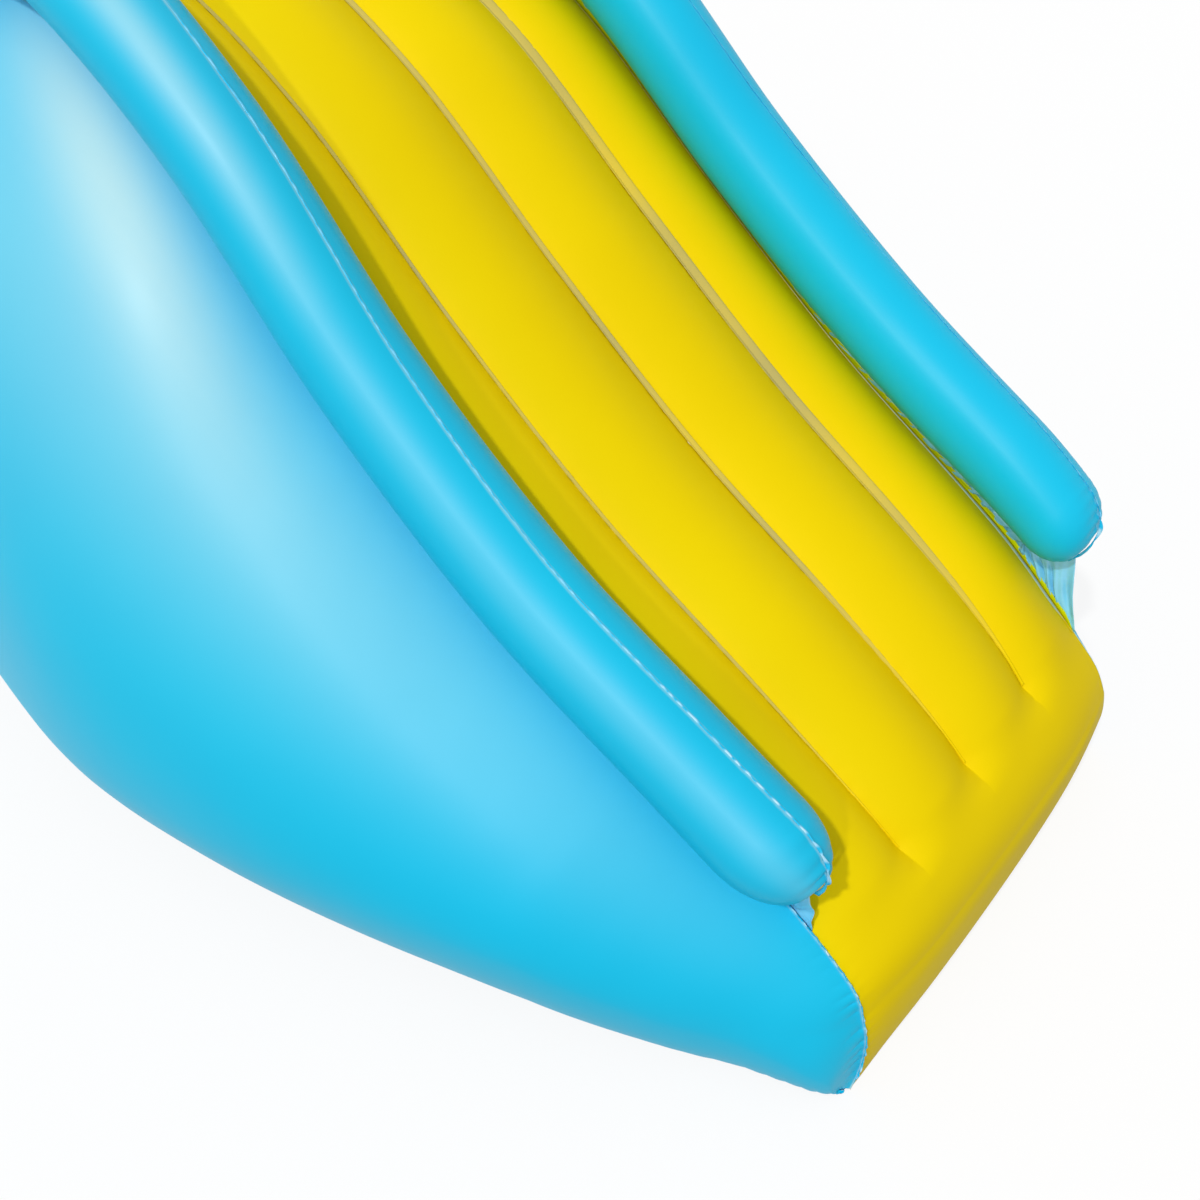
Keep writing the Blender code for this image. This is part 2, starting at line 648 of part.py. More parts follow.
def build_spray_pipe():
    """Spray pipe across the crest with a hose spigot and its turning nut."""
    here = station(PIPE_ROW)
    crown = CHANNEL_CROWN * ramp(BED_TOP - PIPE_ROW, 0, TOP_FADE)
    level = here.centre + upward(PIPE_ROW, "centre") * (PIPE_SEAT_SHARE * crown + PIPE_RADIUS + GAP)
    points = [level + Vector((-PIPE_HALF_LENGTH, 0, 0)), level + Vector((PIPE_HALF_LENGTH - PIPE_BEND, 0, 0))]
    corner = level + Vector((PIPE_HALF_LENGTH - PIPE_BEND, PIPE_BEND, 0))
    for k in range(1, BEND_STEPS + 1):
        angle = math.radians(90) * k / BEND_STEPS
        points.append(corner + PIPE_BEND * Vector((math.sin(angle), -math.cos(angle), 0)))
    end = points[-1] + Vector((0, PIPE_TAIL, 0))
    points.append(end)
    tube("spray_pipe", points, PIPE_RADIUS, WHITE)

    facing = Matrix.Rotation(math.radians(-90), 4, "X")
    frame = Matrix.Translation(end + Vector((0, GAP, 0))) @ facing
    spigot = [(SPIGOT_BORE, 0), (COLLAR_RADIUS, 0), (COLLAR_RADIUS, COLLAR_LENGTH),
              (SPIGOT_RADIUS, COLLAR_LENGTH), (SPIGOT_RADIUS, SPIGOT_LENGTH), (SPIGOT_BORE, SPIGOT_LENGTH)]
    mesh_object("hose_spigot", turned_mesh(spigot), WHITE, frame)

    bm = bmesh.new()
    count = 2 * NUT_RIBS
    radii = [NUT_RADIUS + (RIB_HEIGHT if k % 2 else 0) for k in range(count)]
    angles = [math.radians(360) * k / count for k in range(count)]
    low = [bm.verts.new((r * math.cos(a), r * math.sin(a), 0)) for r, a in zip(radii, angles)]
    bore = [bm.verts.new((NUT_BORE * math.cos(a), NUT_BORE * math.sin(a), 0)) for a in angles]
    loops = [[bm.edges.new((ring[k], ring[(k + 1) % count])) for k in range(count)] for ring in (low, bore)]
    wall = bmesh.ops.bridge_loops(bm, edges=loops[0] + loops[1])["faces"]
    grown = bmesh.ops.extrude_face_region(bm, geom=wall)
    top = [item for item in grown["geom"] if isinstance(item, bmesh.types.BMVert)]
    bmesh.ops.translate(bm, verts=top, vec=(0, 0, NUT_LENGTH))
    bmesh.ops.recalc_face_normals(bm, faces=bm.faces)
    place = frame @ Matrix.Translation((0, 0, COLLAR_LENGTH + GAP))
    mesh_object("hose_nut", bm, BLUE, place)


def build_tie_down(name, row, side):
    """Ground tab welded at the base seam, with a brass eyelet."""
    ends = (row - HALF_ROW / 2, row + HALF_ROW / 2)
    low, high = (panel_point(1, v) for v in ends)
    foot, along = (low + high) / 2, high - low
    inner = sum((panel_point(1 - 1 / PANEL_STEPS, v) for v in ends), Vector()) / 2
    square = Vector((along.y, -along.x, 0)).normalized()
    slope = (inner.z - foot.z) / (inner - foot).dot(square)
    away = mirror_vector(square, side)
    start = max(TAB_LIFT + TAB_THICKNESS - foot.z, 0) / slope + 2 * GAP
    across = Vector((0, 0, 1)).cross(away)
    frame = Matrix((away, across, Vector((0, 0, 1)))).transposed().to_4x4()
    frame.translation = mirror_vector(foot, side) + away * start + Vector((0, 0, TAB_LIFT - foot.z))

    bm = bmesh.new()
    half = TAB_WIDTH / 2
    spots = [(0, -half), (TAB_LENGTH - half, -half)]
    for k in range(1, TAB_ROUND_STEPS):
        angle = math.radians(-90) + math.radians(180) * k / TAB_ROUND_STEPS
        spots.append((TAB_LENGTH - half + half * math.cos(angle), half * math.sin(angle)))
    spots += [(TAB_LENGTH - half, half), (0, half)]
    face = bm.faces.new([bm.verts.new((x, y, 0)) for x, y in spots])
    grown = bmesh.ops.extrude_face_region(bm, geom=[face])
    top = [item for item in grown["geom"] if isinstance(item, bmesh.types.BMVert)]
    bmesh.ops.translate(bm, verts=top, vec=(0, 0, TAB_THICKNESS))
    bmesh.ops.recalc_face_normals(bm, faces=bm.faces)
    tab = mesh_object(f"{name}_tab", bm, BLUE, frame, smooth=False)

    spot = frame @ Matrix.Translation((TAB_LENGTH - EYELET_INSET, 0, 0))
    hole_radius = EYELET_NECK + GAP
    hole = turned_mesh([(0, -CUT_OVERRUN), (hole_radius, -CUT_OVERRUN), (hole_radius, CUT_OVERRUN),
                        (0, CUT_OVERRUN)])
    boolean(tab, cutter(f"{name}_hole", hole, spot), "DIFFERENCE")
    upper = TAB_THICKNESS + GAP
    profile = [(EYELET_BORE, -EYELET_DROP), (EYELET_NECK, -EYELET_DROP), (EYELET_NECK, upper),
               (EYELET_RADIUS, upper), (EYELET_RADIUS, upper + EYELET_THICKNESS),
               (EYELET_BORE, upper + EYELET_THICKNESS)]
    mesh_object(f"{name}_eyelet", turned_mesh(profile), BRASS, spot)


def main():
    for old in list(bpy.data.objects):
        bpy.data.objects.remove(old, do_unlink=True)
    build_bed()
    build_base_sheet()
    ladder = build_ladder_panel()
    for name, place in (("left_baffle", 1), ("centre_baffle", 0), ("right_baffle", -1)):
        build_baffle(name, place)
    for name, side in (("left", 1), ("right", -1)):
        build_side_panel(f"{name}_side_panel", side)
        rail = build_rail(f"{name}_rail", side)
        build_web(f"{name}_rail_web", side)
        build_rail_valve(f"{name}_rail_valve", rail, side)
        build_handle(name, side)
        for end, row in zip(("front", "rear"), TAB_ROWS):
            build_tie_down(f"{end}_{name}", row, side)
    build_steps()
    build_ladder_valve("body_valve", ladder, 1, True)
    build_ladder_valve("drain", ladder, -1, False)
    build_spray_pipe()
    bpy.context.view_layer.update()


main()
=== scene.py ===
"""Looks of the inflatable pool slide: welded vinyl film, moulded fittings and a white studio.

Metres, +Z up, nose towards -Y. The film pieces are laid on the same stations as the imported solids.
"""

import math
from collections import namedtuple
from functools import lru_cache

import bmesh
import bpy
from mathutils import Matrix, Vector, noise


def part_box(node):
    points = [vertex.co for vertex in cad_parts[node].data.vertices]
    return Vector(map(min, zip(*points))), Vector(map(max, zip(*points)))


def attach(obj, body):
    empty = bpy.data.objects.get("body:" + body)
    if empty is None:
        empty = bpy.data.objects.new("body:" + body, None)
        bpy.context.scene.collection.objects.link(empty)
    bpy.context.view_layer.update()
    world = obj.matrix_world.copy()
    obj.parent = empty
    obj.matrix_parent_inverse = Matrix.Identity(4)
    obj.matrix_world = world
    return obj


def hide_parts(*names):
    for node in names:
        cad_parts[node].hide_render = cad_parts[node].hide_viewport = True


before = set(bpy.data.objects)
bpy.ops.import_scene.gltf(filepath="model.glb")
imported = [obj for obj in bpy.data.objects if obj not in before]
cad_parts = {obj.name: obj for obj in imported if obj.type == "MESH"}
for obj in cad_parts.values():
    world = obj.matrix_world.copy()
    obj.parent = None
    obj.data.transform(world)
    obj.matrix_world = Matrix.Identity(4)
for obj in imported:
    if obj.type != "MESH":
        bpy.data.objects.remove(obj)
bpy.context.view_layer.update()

# Sizes that the film follows, as the solids have them
SLIDE_LENGTH = 3.33
NOSE_SKEW = 0.034
NOSE_TUCK = 0.016
TIP_SKEW = 0.018
TUCK_HEIGHT = 0.15
SKEW_START = 1.36
SKEW_LENGTH = 0.29
SKEW_POWER = 2.5
SKEW_HALF_SHARE = 1.06
CREST_HEIGHT = 1.09
BODY_HALF_WIDTH = 0.83
BED_HALF_WIDTH = 0.37
FILM = 0.0006
SEAM_GAP = 0.0006
MERGE_DISTANCE = 0.00003
CHANNEL_CROWN = 0.032
GROOVE_SHARE = 0.5
GROOVE_SPREAD_SHARE = 0.047
OUTER_FLAT_SHARE = 0.45
LADDER_EDGE_SHARE = 0.25
BULGE_HEIGHT = 0.2
BULGE_SHARE = 0.5
SHOULDER_SHARE = 1.12
WIDEST_SHARE = 2 / 3
TUCK_SHARE = 0.8
RAIL_RADIUS = 0.0725
RAIL_FACETS = 12

# One row per station, from the nose's ground seam over the crest to the ladder's ground seam.
# Shares of the length, the crest height, the bed's and the body's half width and the rail's radius:
# centre line y, z; bed seam y, z, x; widest outline y, x; the rail's height off the seam and its outset.
STATION_SHARES = (
    (0.003, 0.000, 0.002, 0.000, 1.054, 0.005, 0.480, 1.20, 0.30),
    (0.000, 0.046, 0.002, 0.041, 1.014, 0.005, 0.500, 1.20, 0.30),
    (0.000, 0.096, 0.003, 0.094, 1.000, 0.007, 0.520, 1.20, 0.30),
    (0.002, 0.144, 0.007, 0.138, 0.995, 0.014, 0.545, 1.20, 0.30),
    (0.011, 0.187, 0.014, 0.178, 0.995, 0.026, 0.570, 1.00, 0.30),
    (0.027, 0.225, 0.029, 0.216, 0.995, 0.044, 0.606, 0.70, 0.30),
    (0.051, 0.282, 0.053, 0.265, 0.995, 0.074, 0.678, 0.46, 0.32),
    (0.106, 0.380, 0.106, 0.364, 0.995, 0.122, 0.777, 0.20, 0.38),
    (0.189, 0.519, 0.189, 0.503, 1.005, 0.194, 0.876, 0.08, 0.42),
    (0.272, 0.697, 0.272, 0.680, 1.005, 0.269, 0.952, 0.06, 0.32),
    (0.355, 0.889, 0.355, 0.872, 0.989, 0.344, 0.990, 0.32, 0.16),
    (0.438, 0.995, 0.438, 0.979, 0.968, 0.416, 0.964, 0.62, 0.10),
    (0.521, 0.993, 0.521, 0.976, 0.946, 0.494, 0.898, 0.66, 0.14),
    (0.596, 0.980, 0.596, 0.963, 0.946, 0.596, 0.837, 0.60, 0.14),
    (0.653, 0.945, 0.653, 0.928, 0.946, 0.671, 0.783, 0.40, 0.12),
    (0.704, 0.867, 0.704, 0.850, 0.946, 0.737, 0.735, 0.16, 0.10),
    (0.761, 0.729, 0.761, 0.713, 0.946, 0.800, 0.693, 0.08, 0.00),
    (0.866, 0.440, 0.866, 0.424, 0.946, 0.890, 0.627, 0.08, 0.00),
    (0.962, 0.179, 0.962, 0.162, 1.000, 0.956, 0.584, 0.08, 0.00),
    (0.992, 0.101, 0.988, 0.087, 1.081, 0.980, 0.566, 0.08, 0.00),
    (1.000, 0.046, 0.997, 0.037, 1.135, 0.992, 0.548, 0.08, 0.00),
    (0.995, 0.000, 0.995, 0.000, 1.189, 0.995, 0.536, 0.08, 0.00),
)

# Stations, counted in rows of the table above
LAST = len(STATION_SHARES) - 1
SIDES = (("left", 1), ("right", -1))
GROOVES = (("right", -1), ("centre", 0), ("left", 1))
SMALL_ROW = 0.004
HALF_ROW = 0.5
BED_TOP = 14
GROOVE_END = 5
GROOVE_FADE = 0.9
CREST_ROW = 12
CROWN_FADE = 2.3
TOP_FADE = 1.5
RAIL_TIP = 6.05
RAIL_TIP_ROUND = 0.5
RAIL_TAIL = 17.6
RAIL_TAIL_ROUND = 0.25
WEB_FOOT = {"left": 5.0, "right": 5.5}
WEB_TOP_END = 17
BAFFLE_ENDS = (5.5, 12.5)
FIRST_STEP = 16.25
HANDLE_ROWS = (13.25, 14.25)
RAIL_VALVE_ROW = 16.25
LADDER_VALVE_ROW = 18.25
LADDER_VALVE_SHARE = 0.42
PIPE_ROW = 13.5

# Welds and puckers
ROUND_SHARE = 0.985
FLANGE_FILM = 0.0005
WELD_FILM = 0.0012
PUCKER_PITCH = 0.02
RUN_STEP = 0.05
RAIL_WELD_TILT = {"left": -6, "right": -26}
SLIM_NOSE = {"left": 0.45, "right": 1.0}
GROOVE_WELD_WIDTHS = {"right": 0.005, "centre": 0.009, "left": 0.016}
# A weld's height at its edges, and what its middle adds
GROOVE_WELD_LIFT = (0.0008, 0.001)
EDGE_WELD_WIDTH = 0.011
EDGE_WELD_INSET = 0.0045
EDGE_WELD_LIFT = (0.001, 0.0008)
EDGE_START = {"left": 5.05, "right": 6.4}
YELLOW_EDGE_HEIGHT = 0.0095
YELLOW_EDGE_WAVE = 0.001
BLUE_EDGE_ROWS = {"left": 5.05, "right": 0.1}
BLUE_EDGE_START = {"left": 5.05, "right": 0.3}
BLUE_EDGE_ROOT = 0.003
BLUE_EDGE_WIDTH = 0.002
BLUE_EDGE_SCALLOP = 0.0045
BLUE_EDGE_WAVE = 0.002
RAIL_EDGE_WIDTH = 0.002
RAIL_EDGE_SCALLOP = 0.0008
RAIL_EDGE_WAVE = 0.001
TIP_EDGE = 0.006
TIP_EDGE_PITCH = 0.018
CREST_WELD_WIDTH = 0.014

# Creases that the welds draw into the films: depth, reach and pitch
BED_EDGE_CREASES = (0.0012, 0.02, PUCKER_PITCH)
GROOVE_CREASES = (0.0012, 0.014, 0.03)
PANEL_TOP_CREASES = (0.0032, 0.024, 0.023)
PANEL_FOOT_CREASES = (0.003, 0.03, 0.033)
LADDER_SIDE_CREASES = (0.004, 0.03, PUCKER_PITCH)
LADDER_FOOT_CREASES = (0.003, 0.025, 0.03)
LADDER_TOP_CREASES = (0.003, 0.03, 0.026)
TREAD_END_CREASES = (0.006, 0.045, 0.02)
TREAD_FOOT_CREASES = (0.003, 0.016, 0.021)
# Depth of the creases along a rail, and what its ends add
RAIL_CREASE = 0.0007
TIP_CREASE = 0.0055
# So near to a weld the film stays where it is
HELD = 0.0005

# Slow unevenness of the films: spacing and height
BED_WAVES = (0.3, 0.002)
PANEL_WAVES = (0.45, 0.003)
RAIL_WAVES = (0.22, 0.0012)
LADDER_WAVES = (0.25, 0.0015)
WEB_WAVES = (0.03, 0.003)
# Height of a web's folds, and height and pitch of a baffle's waves
WEB_FOLD = 0.0042
BAFFLE_WAVE = (0.004, 0.12)

# Painted highlight on the side panels, as paler film near the crest and over the shoulder: strength, share
# across and its reach, station and its reach, slant
CREST_PAINTED_HIGHLIGHT = (0.58, 0.096, 0.07, 10.4, 1.0, 0.08)
SHOULDER_PAINTED_HIGHLIGHT = (0.27, 0.21, 0.165, 9.75, 2.6)
# Painted highlight along a rail, as paler film: strength, what its upper slope adds, share round it and its
# reach
RAIL_PAINTED_HIGHLIGHT = {"left": (0.26, 0.0, 0.8, 0.11), "right": (0.1, 0.27, 0.56, 0.055)}

# Steps, handles and fittings
STEP_COUNT = 4
STEP_HALF_LENGTH = 0.235
STEP_HALF_WIDTH = 0.052
STEP_HEIGHT = 0.062
STEP_SEAT = 0.0005
STEP_END_POWER = 6
STEP_TAPER_POWER = 4
STEP_TAPER_SHARE = 0.2
STEP_LIP = 0.009
STEP_LIFT = 0.0004
HANDLE_RADIUS = 0.009
HANDLE_RISE = 0.085
HANDLE_ARCH_POWER = 3
HANDLE_CELL = 5
PATCH_LENGTH = 0.062
PATCH_WIDTH = 0.036
PATCH_THICKNESS = 0.0015
PAD_LENGTH_SHARE = 1.1
PAD_WIDTH_SHARE = 1.15
PAD_CORNER_POWER = 5
PAD_LIFT = 0.0012
PAD_RIM = 0.0008
GRIP_LEGS = 12
GRIP_WAVES = 5.5
GRIP_WAVE = 0.07
GRIP_REACH = 0.28
GAP = 0.0003
NECK_RADIUS = 0.0105
BORE_RADIUS = 0.008
FLANGE_RADIUS = 0.021
FLANGE_THICKNESS = 0.0015
NECK_RISE = 0.008
NECK_DEPTH = 0.012
CAP_RADIUS = 0.0115
CAP_THICKNESS = 0.0016
PLUG_RADIUS = 0.0058
PLUG_DEPTH = 0.002
HINGE_REACH = 0.0155
HINGE_WIDTH = 0.006
LUG_LENGTH = 0.002
FLAP_RADIUS = 0.0093
FLAP_THICKNESS = 0.0008
FLAP_REACH = 0.0112
RAIL_VALVE_CELL = 8
PIPE_RADIUS = 0.011
PIPE_HALF_LENGTH = 0.2
PIPE_BEND = 0.035
PIPE_TAIL = 0.05
PIPE_SEAT_SHARE = 0.96
SPIGOT_RADIUS = 0.0085
SPIGOT_BORE = 0.006
SPIGOT_LENGTH = 0.03
NUT_BORE = 0.0095
NUT_RADIUS = 0.0155
NUT_LENGTH = 0.018
NUT_RIBS = 12
RIB_HEIGHT = 0.001
COLLAR_RADIUS = 0.0125
COLLAR_LENGTH = 0.003
VALVE_EDGE = 0.0004
PULL_SIZE = (0.006, 0.008)
PULL_REACH = 0.002
PIPE_END_ROUND = 0.004
JET_COUNT = 9
JET_INSET = 0.03
STRAP_PLACES = {"right": -0.14, "centre": 0.0, "left": 0.12}
STRAP_HALF_WIDTH = 0.011
STRAP_LIFT = 0.0009
STRAP_SHARE = 0.62
BARB_COUNT = 4
BARB_DEPTH = 0.0009
BARB_LENGTH = 0.0038
TAB_EDGE = 0.00025
EYELET_BORE = 0.006
EYELET_LIP = 0.0012
CLOTH_RIM = 0.012
ROUND_STEPS = 56

# Outlines of small turned parts, as radius and height
HANDLE_FOOT_OUTLINE = ((0, -0.001), (0.0165, -0.001), (0.0165, 0.001), (0.0145, 0.0035), (0.0115, 0.006),
                       (0.0102, 0.010), (0, 0.012))
FLAP_BOSS_OUTLINE = ((0, -0.0012), (0.0024, -0.0012), (0.003, -0.0006), (0.003, 0.0002), (0, 0.0002))
JET_OUTLINE = ((0.0009, -0.001), (0.0026, -0.001), (0.0026, 0.0006), (0.0018, 0.0016), (0.0009, 0.0016))

# Camera and lamps, as the photograph has them
CAMERA_PLACE = (-1.2863, -1.9882, 1.8513)
CAMERA_TILT = 90 - 45.03
CAMERA_TURN = -48.53
CAMERA_LENS = 42
CAMERA_SENSOR = 36
# Each lamp's azimuth and elevation, its strength, and the size of its disc in degrees
LAMPS = {"high_lamp": (-80, 55, 1.36, 2.5), "low_lamp": (-70, 37, 0.6, 2)}
SKY_LEVEL = 0.565
FLOOR_SIZE = 30
FLOOR_DROP = 0.0015
FLOOR_GLOW = 0.82

Station = namedtuple("Station", "centre seam outline lift outset")


# Colours and materials
def linear(code):
    """Linear colour of an sRGB hex value."""
    parts = [int(code[k:k + 2], 16) / 255 for k in (1, 3, 5)]
    return (*[p / 12.92 if p <= 0.04045 else ((p + 0.055) / 1.055) ** 2.4 for p in parts], 1)


def add(tree, kind, inputs=(), **settings):
    """Add a shader node with its settings, and give its sockets values or links."""
    made = tree.nodes.new(kind)
    for key, value in settings.items():
        setattr(made, key, value)
    for key, value in dict(inputs).items():
        if isinstance(value, bpy.types.NodeSocket):
            tree.links.new(value, made.inputs[key])
        else:
            made.inputs[key].default_value = value
    return made


def new_material(name):
    made = bpy.data.materials.new(name)
    made.use_nodes = True
    return made, made.node_tree, made.node_tree.nodes["Principled BSDF"]


def per_metre(millimetres):
    """Noise scale of a pattern with that spacing."""
    return 1000 / millimetres


def vinyl_film(name, colour, worn, weld, roughness, grain=3.5, level=0.3, coat=0.1):
    """Calendered PVC film: an even colour with a soft gloss, a fine pressed grain and slow pressure waves.

    The real grain is about 0.4 mm, which is too fine to show, so it is drawn at grain millimetres.
    The film turns to the weld colour where its "weld" attribute says so; that attribute also carries painted
    highlights, glints and sheen.
    """
    made, tree, shader = new_material(name)
    place = add(tree, "ShaderNodeTexCoord").outputs["Object"]
    cloud = add(tree, "ShaderNodeTexNoise", {"Vector": place, "Scale": per_metre(420), "Detail": 2})
    drift = add(tree, "ShaderNodeMapRange", {0: cloud.outputs[0], 1: 0.35, 2: 0.65})
    body = add(tree, "ShaderNodeMix", {0: drift.outputs[0], 6: linear(colour), 7: linear(worn)},
               data_type="RGBA")
    seam = add(tree, "ShaderNodeAttribute", attribute_name="weld")
    # Weld tone, and the painted highlights, glints and sheen that the attribute carries.
    weld_tone_and_painted_highlight = add(tree, "ShaderNodeMix", {0: seam.outputs["Fac"], 6: body.outputs[2], 7: linear(weld)},
                data_type="RGBA")
    pressed = add(tree, "ShaderNodeTexNoise", {"Vector": place, "Scale": per_metre(grain), "Detail": 3})
    waves = add(tree, "ShaderNodeTexNoise", {"Vector": place, "Scale": per_metre(90), "Detail": 1})
    slow = add(tree, "ShaderNodeBump", {"Height": waves.outputs[0], "Strength": 0.12, "Distance": 0.01})
    fine = add(tree, "ShaderNodeBump", {"Height": pressed.outputs[0], "Strength": 0.05,
                                        "Distance": 0.001, "Normal": slow.outputs[0]})
    gloss = add(tree, "ShaderNodeMapRange", {0: cloud.outputs[0], 3: roughness - 0.03, 4: roughness + 0.05})
    tree.links.new(weld_tone_and_painted_highlight.outputs[2], shader.inputs["Base Color"])
    tree.links.new(fine.outputs[0], shader.inputs["Normal"])
    tree.links.new(gloss.outputs[0], shader.inputs["Roughness"])
    shader.inputs["IOR"].default_value = 1.53
    shader.inputs["Specular IOR Level"].default_value = level
    shader.inputs["Coat Weight"].default_value = coat
    shader.inputs["Coat Roughness"].default_value = 0.3
    return made


def clear_film(name, colour, opacity):
    """Thin unprinted PVC film: milky and glossy, a little see-through, with the creases of handling."""
    made, tree, shader = new_material(name)
    place = add(tree, "ShaderNodeTexCoord").outputs["Object"]
    creases = add(tree, "ShaderNodeTexNoise", {"Vector": place, "Scale": per_metre(14), "Detail": 3,
                                               "Distortion": 0.6})
    milk = add(tree, "ShaderNodeMapRange", {0: creases.outputs[0], 1: 0.3, 2: 0.7, 3: opacity, 4: 1})
    bump = add(tree, "ShaderNodeBump", {"Height": creases.outputs[0], "Strength": 0.25, "Distance": 0.002})
    tree.links.new(milk.outputs[0], shader.inputs["Alpha"])
    tree.links.new(bump.outputs[0], shader.inputs["Normal"])
    shader.inputs["Base Color"].default_value = linear(colour)
    shader.inputs["Roughness"].default_value = 0.2
    shader.inputs["IOR"].default_value = 1.53
    shader.inputs["Coat Weight"].default_value = 0.5
    return made


def coated_cloth(name, colour, thread=4):
    """PVC-coated ground cloth: matt, with the woven scrim showing through as a grid of threads.

    Its threads lie 1 mm apart, which is too fine to show, so they are drawn thread millimetres apart.
    """
    made, tree, shader = new_material(name)
    place = add(tree, "ShaderNodeTexCoord").outputs["Object"]
    quarter = add(tree, "ShaderNodeMapping", {"Vector": place, "Rotation": (0, 0, math.radians(90))})
    scale = per_metre(thread) / math.tau
    warp = add(tree, "ShaderNodeTexWave", {"Vector": place, "Scale": scale})
    weft = add(tree, "ShaderNodeTexWave", {"Vector": quarter.outputs[0], "Scale": scale})
    weave = add(tree, "ShaderNodeMath", {0: warp.outputs["Fac"], 1: weft.outputs["Fac"]},
                operation="MAXIMUM")
    bump = add(tree, "ShaderNodeBump", {"Height": weave.outputs[0], "Strength": 0.3, "Distance": 0.0005})
    scuffs = add(tree, "ShaderNodeTexNoise", {"Vector": place, "Scale": per_metre(60), "Detail": 5})
    worn = add(tree, "ShaderNodeMapRange", {0: scuffs.outputs[0], 3: 0.45, 4: 0.65})
    tree.links.new(bump.outputs[0], shader.inputs["Normal"])
    tree.links.new(worn.outputs[0], shader.inputs["Roughness"])
    shader.inputs["Base Color"].default_value = linear(colour)
    return made


def moulded_pvc(name, colour, roughness, milky=0.0):
    """Injection-moulded soft PVC: a waxy skin with a faint spark-eroded texture and a little depth."""
    made, tree, shader = new_material(name)
    place = add(tree, "ShaderNodeTexCoord").outputs["Object"]
    spark = add(tree, "ShaderNodeTexNoise", {"Vector": place, "Scale": per_metre(0.9), "Detail": 2})
    bump = add(tree, "ShaderNodeBump", {"Height": spark.outputs[0], "Strength": 0.12, "Distance": 0.0003})
    flow = add(tree, "ShaderNodeTexNoise", {"Vector": place, "Scale": per_metre(18), "Detail": 1})
    gloss = add(tree, "ShaderNodeMapRange", {0: flow.outputs[0], 3: roughness - 0.05, 4: roughness + 0.05})
    tree.links.new(bump.outputs[0], shader.inputs["Normal"])
    tree.links.new(gloss.outputs[0], shader.inputs["Roughness"])
    shader.inputs["Base Color"].default_value = linear(colour)
    shader.inputs["IOR"].default_value = 1.5
    shader.inputs["Subsurface Weight"].default_value = milky
    shader.inputs["Subsurface Scale"].default_value = 0.003
    return made


def rolled_brass(name, colour):
    """Rolled and pressed brass: warm metal with fine round polishing marks and duller patches."""
    made, tree, shader = new_material(name)
    place = add(tree, "ShaderNodeTexCoord").outputs["Object"]
    marks = add(tree, "ShaderNodeTexNoise", {"Vector": place, "Scale": per_metre(1.2), "Detail": 4})
    dull = add(tree, "ShaderNodeMapRange", {0: marks.outputs[0], 3: 0.18, 4: 0.4})
    bump = add(tree, "ShaderNodeBump", {"Height": marks.outputs[0], "Strength": 0.08, "Distance": 0.0002})
    tree.links.new(dull.outputs[0], shader.inputs["Roughness"])
    tree.links.new(bump.outputs[0], shader.inputs["Normal"])
    shader.inputs["Base Color"].default_value = linear(colour)
    shader.inputs["Metallic"].default_value = 1
    return made


# The blue film's weld colour is also the colour of the painted highlights on the side panels and rails.
BLUE_VINYL = vinyl_film("calendered_blue_vinyl", "#00BCE4", "#00C0E6", "#CDE8E4", 0.46, level=0.2)
# The yellow film's grey-beige weld colour is the weld ribbons' tone and partly a painted sheen along the
# grooves.
YELLOW_VINYL = vinyl_film("calendered_yellow_vinyl", "#EED200", "#EACD00", "#B8AC66", 0.5,
                          level=0.05, coat=0)
WHITE_VINYL = vinyl_film("white_baffle_vinyl", "#E9EDEE", "#E2E7E9", "#F4F6F6", 0.45)
# Its near-white weld colour paints the glints on the flanges' scallops.
BLUE_WELD = vinyl_film("heat_welded_blue_vinyl", "#00BAE6", "#08C0EA", "#E6F9FF", 0.25, grain=2.5)
YELLOW_WELD = vinyl_film("heat_welded_yellow_vinyl", "#CFE000", "#D4DC00", "#E6E270", 0.3, grain=2.5)
EDGE_WELD = vinyl_film("pressed_edge_weld", "#E4CC00", "#E0C800", "#A9BDB4", 0.4, grain=2.5)
CLEAR_BLUE = clear_film("clear_blue_film", "#84D6F8", 0.97)
SCRIM = coated_cloth("scrim_coated_ground_cloth", "#1C6FA8")
SOFT_WHITE = moulded_pvc("moulded_soft_white_pvc", "#EEF1F1", 0.38, milky=0.15)
FIRM_BLUE = moulded_pvc("moulded_blue_polypropylene", "#1679C4", 0.32)
BRASS = rolled_brass("rolled_brass", "#D9B36A")


# Stations of the body
def four_around(items, i):
    """The item at a place, the one before and the two after it, where the end ones may count again."""
    return [items[max(0, min(len(items) - 1, k))] for k in range(i - 1, i + 3)]


def through(a, b, c, d, t):
    """Place from b to c on a smooth curve through all four."""
    return 0.5 * (2 * b + (c - a) * t + (2 * a - 5 * b + 4 * c - d) * t**2 + (3 * b - a - 3 * c + d) * t**3)


@lru_cache(maxsize=None)
def station(v):
    """Read the table at any station, on a smooth curve through its rows."""
    i = min(int(v), LAST - 1)
    columns = zip(*four_around(STATION_SHARES, i))
    cy, cz, sy, sz, sx, wy, wx, lift, outset = (through(*column, v - i) for column in columns)
    nose = -SLIDE_LENGTH / 2
    return Station(
        Vector((0, nose + cy * SLIDE_LENGTH, max(cz, 0) * CREST_HEIGHT)),
        Vector((sx * BED_HALF_WIDTH, nose + sy * SLIDE_LENGTH, max(sz, 0) * CREST_HEIGHT)),
        Vector((wx * BODY_HALF_WIDTH, nose + wy * SLIDE_LENGTH, 0)),
        lift * RAIL_RADIUS,
        outset * RAIL_RADIUS,
    )


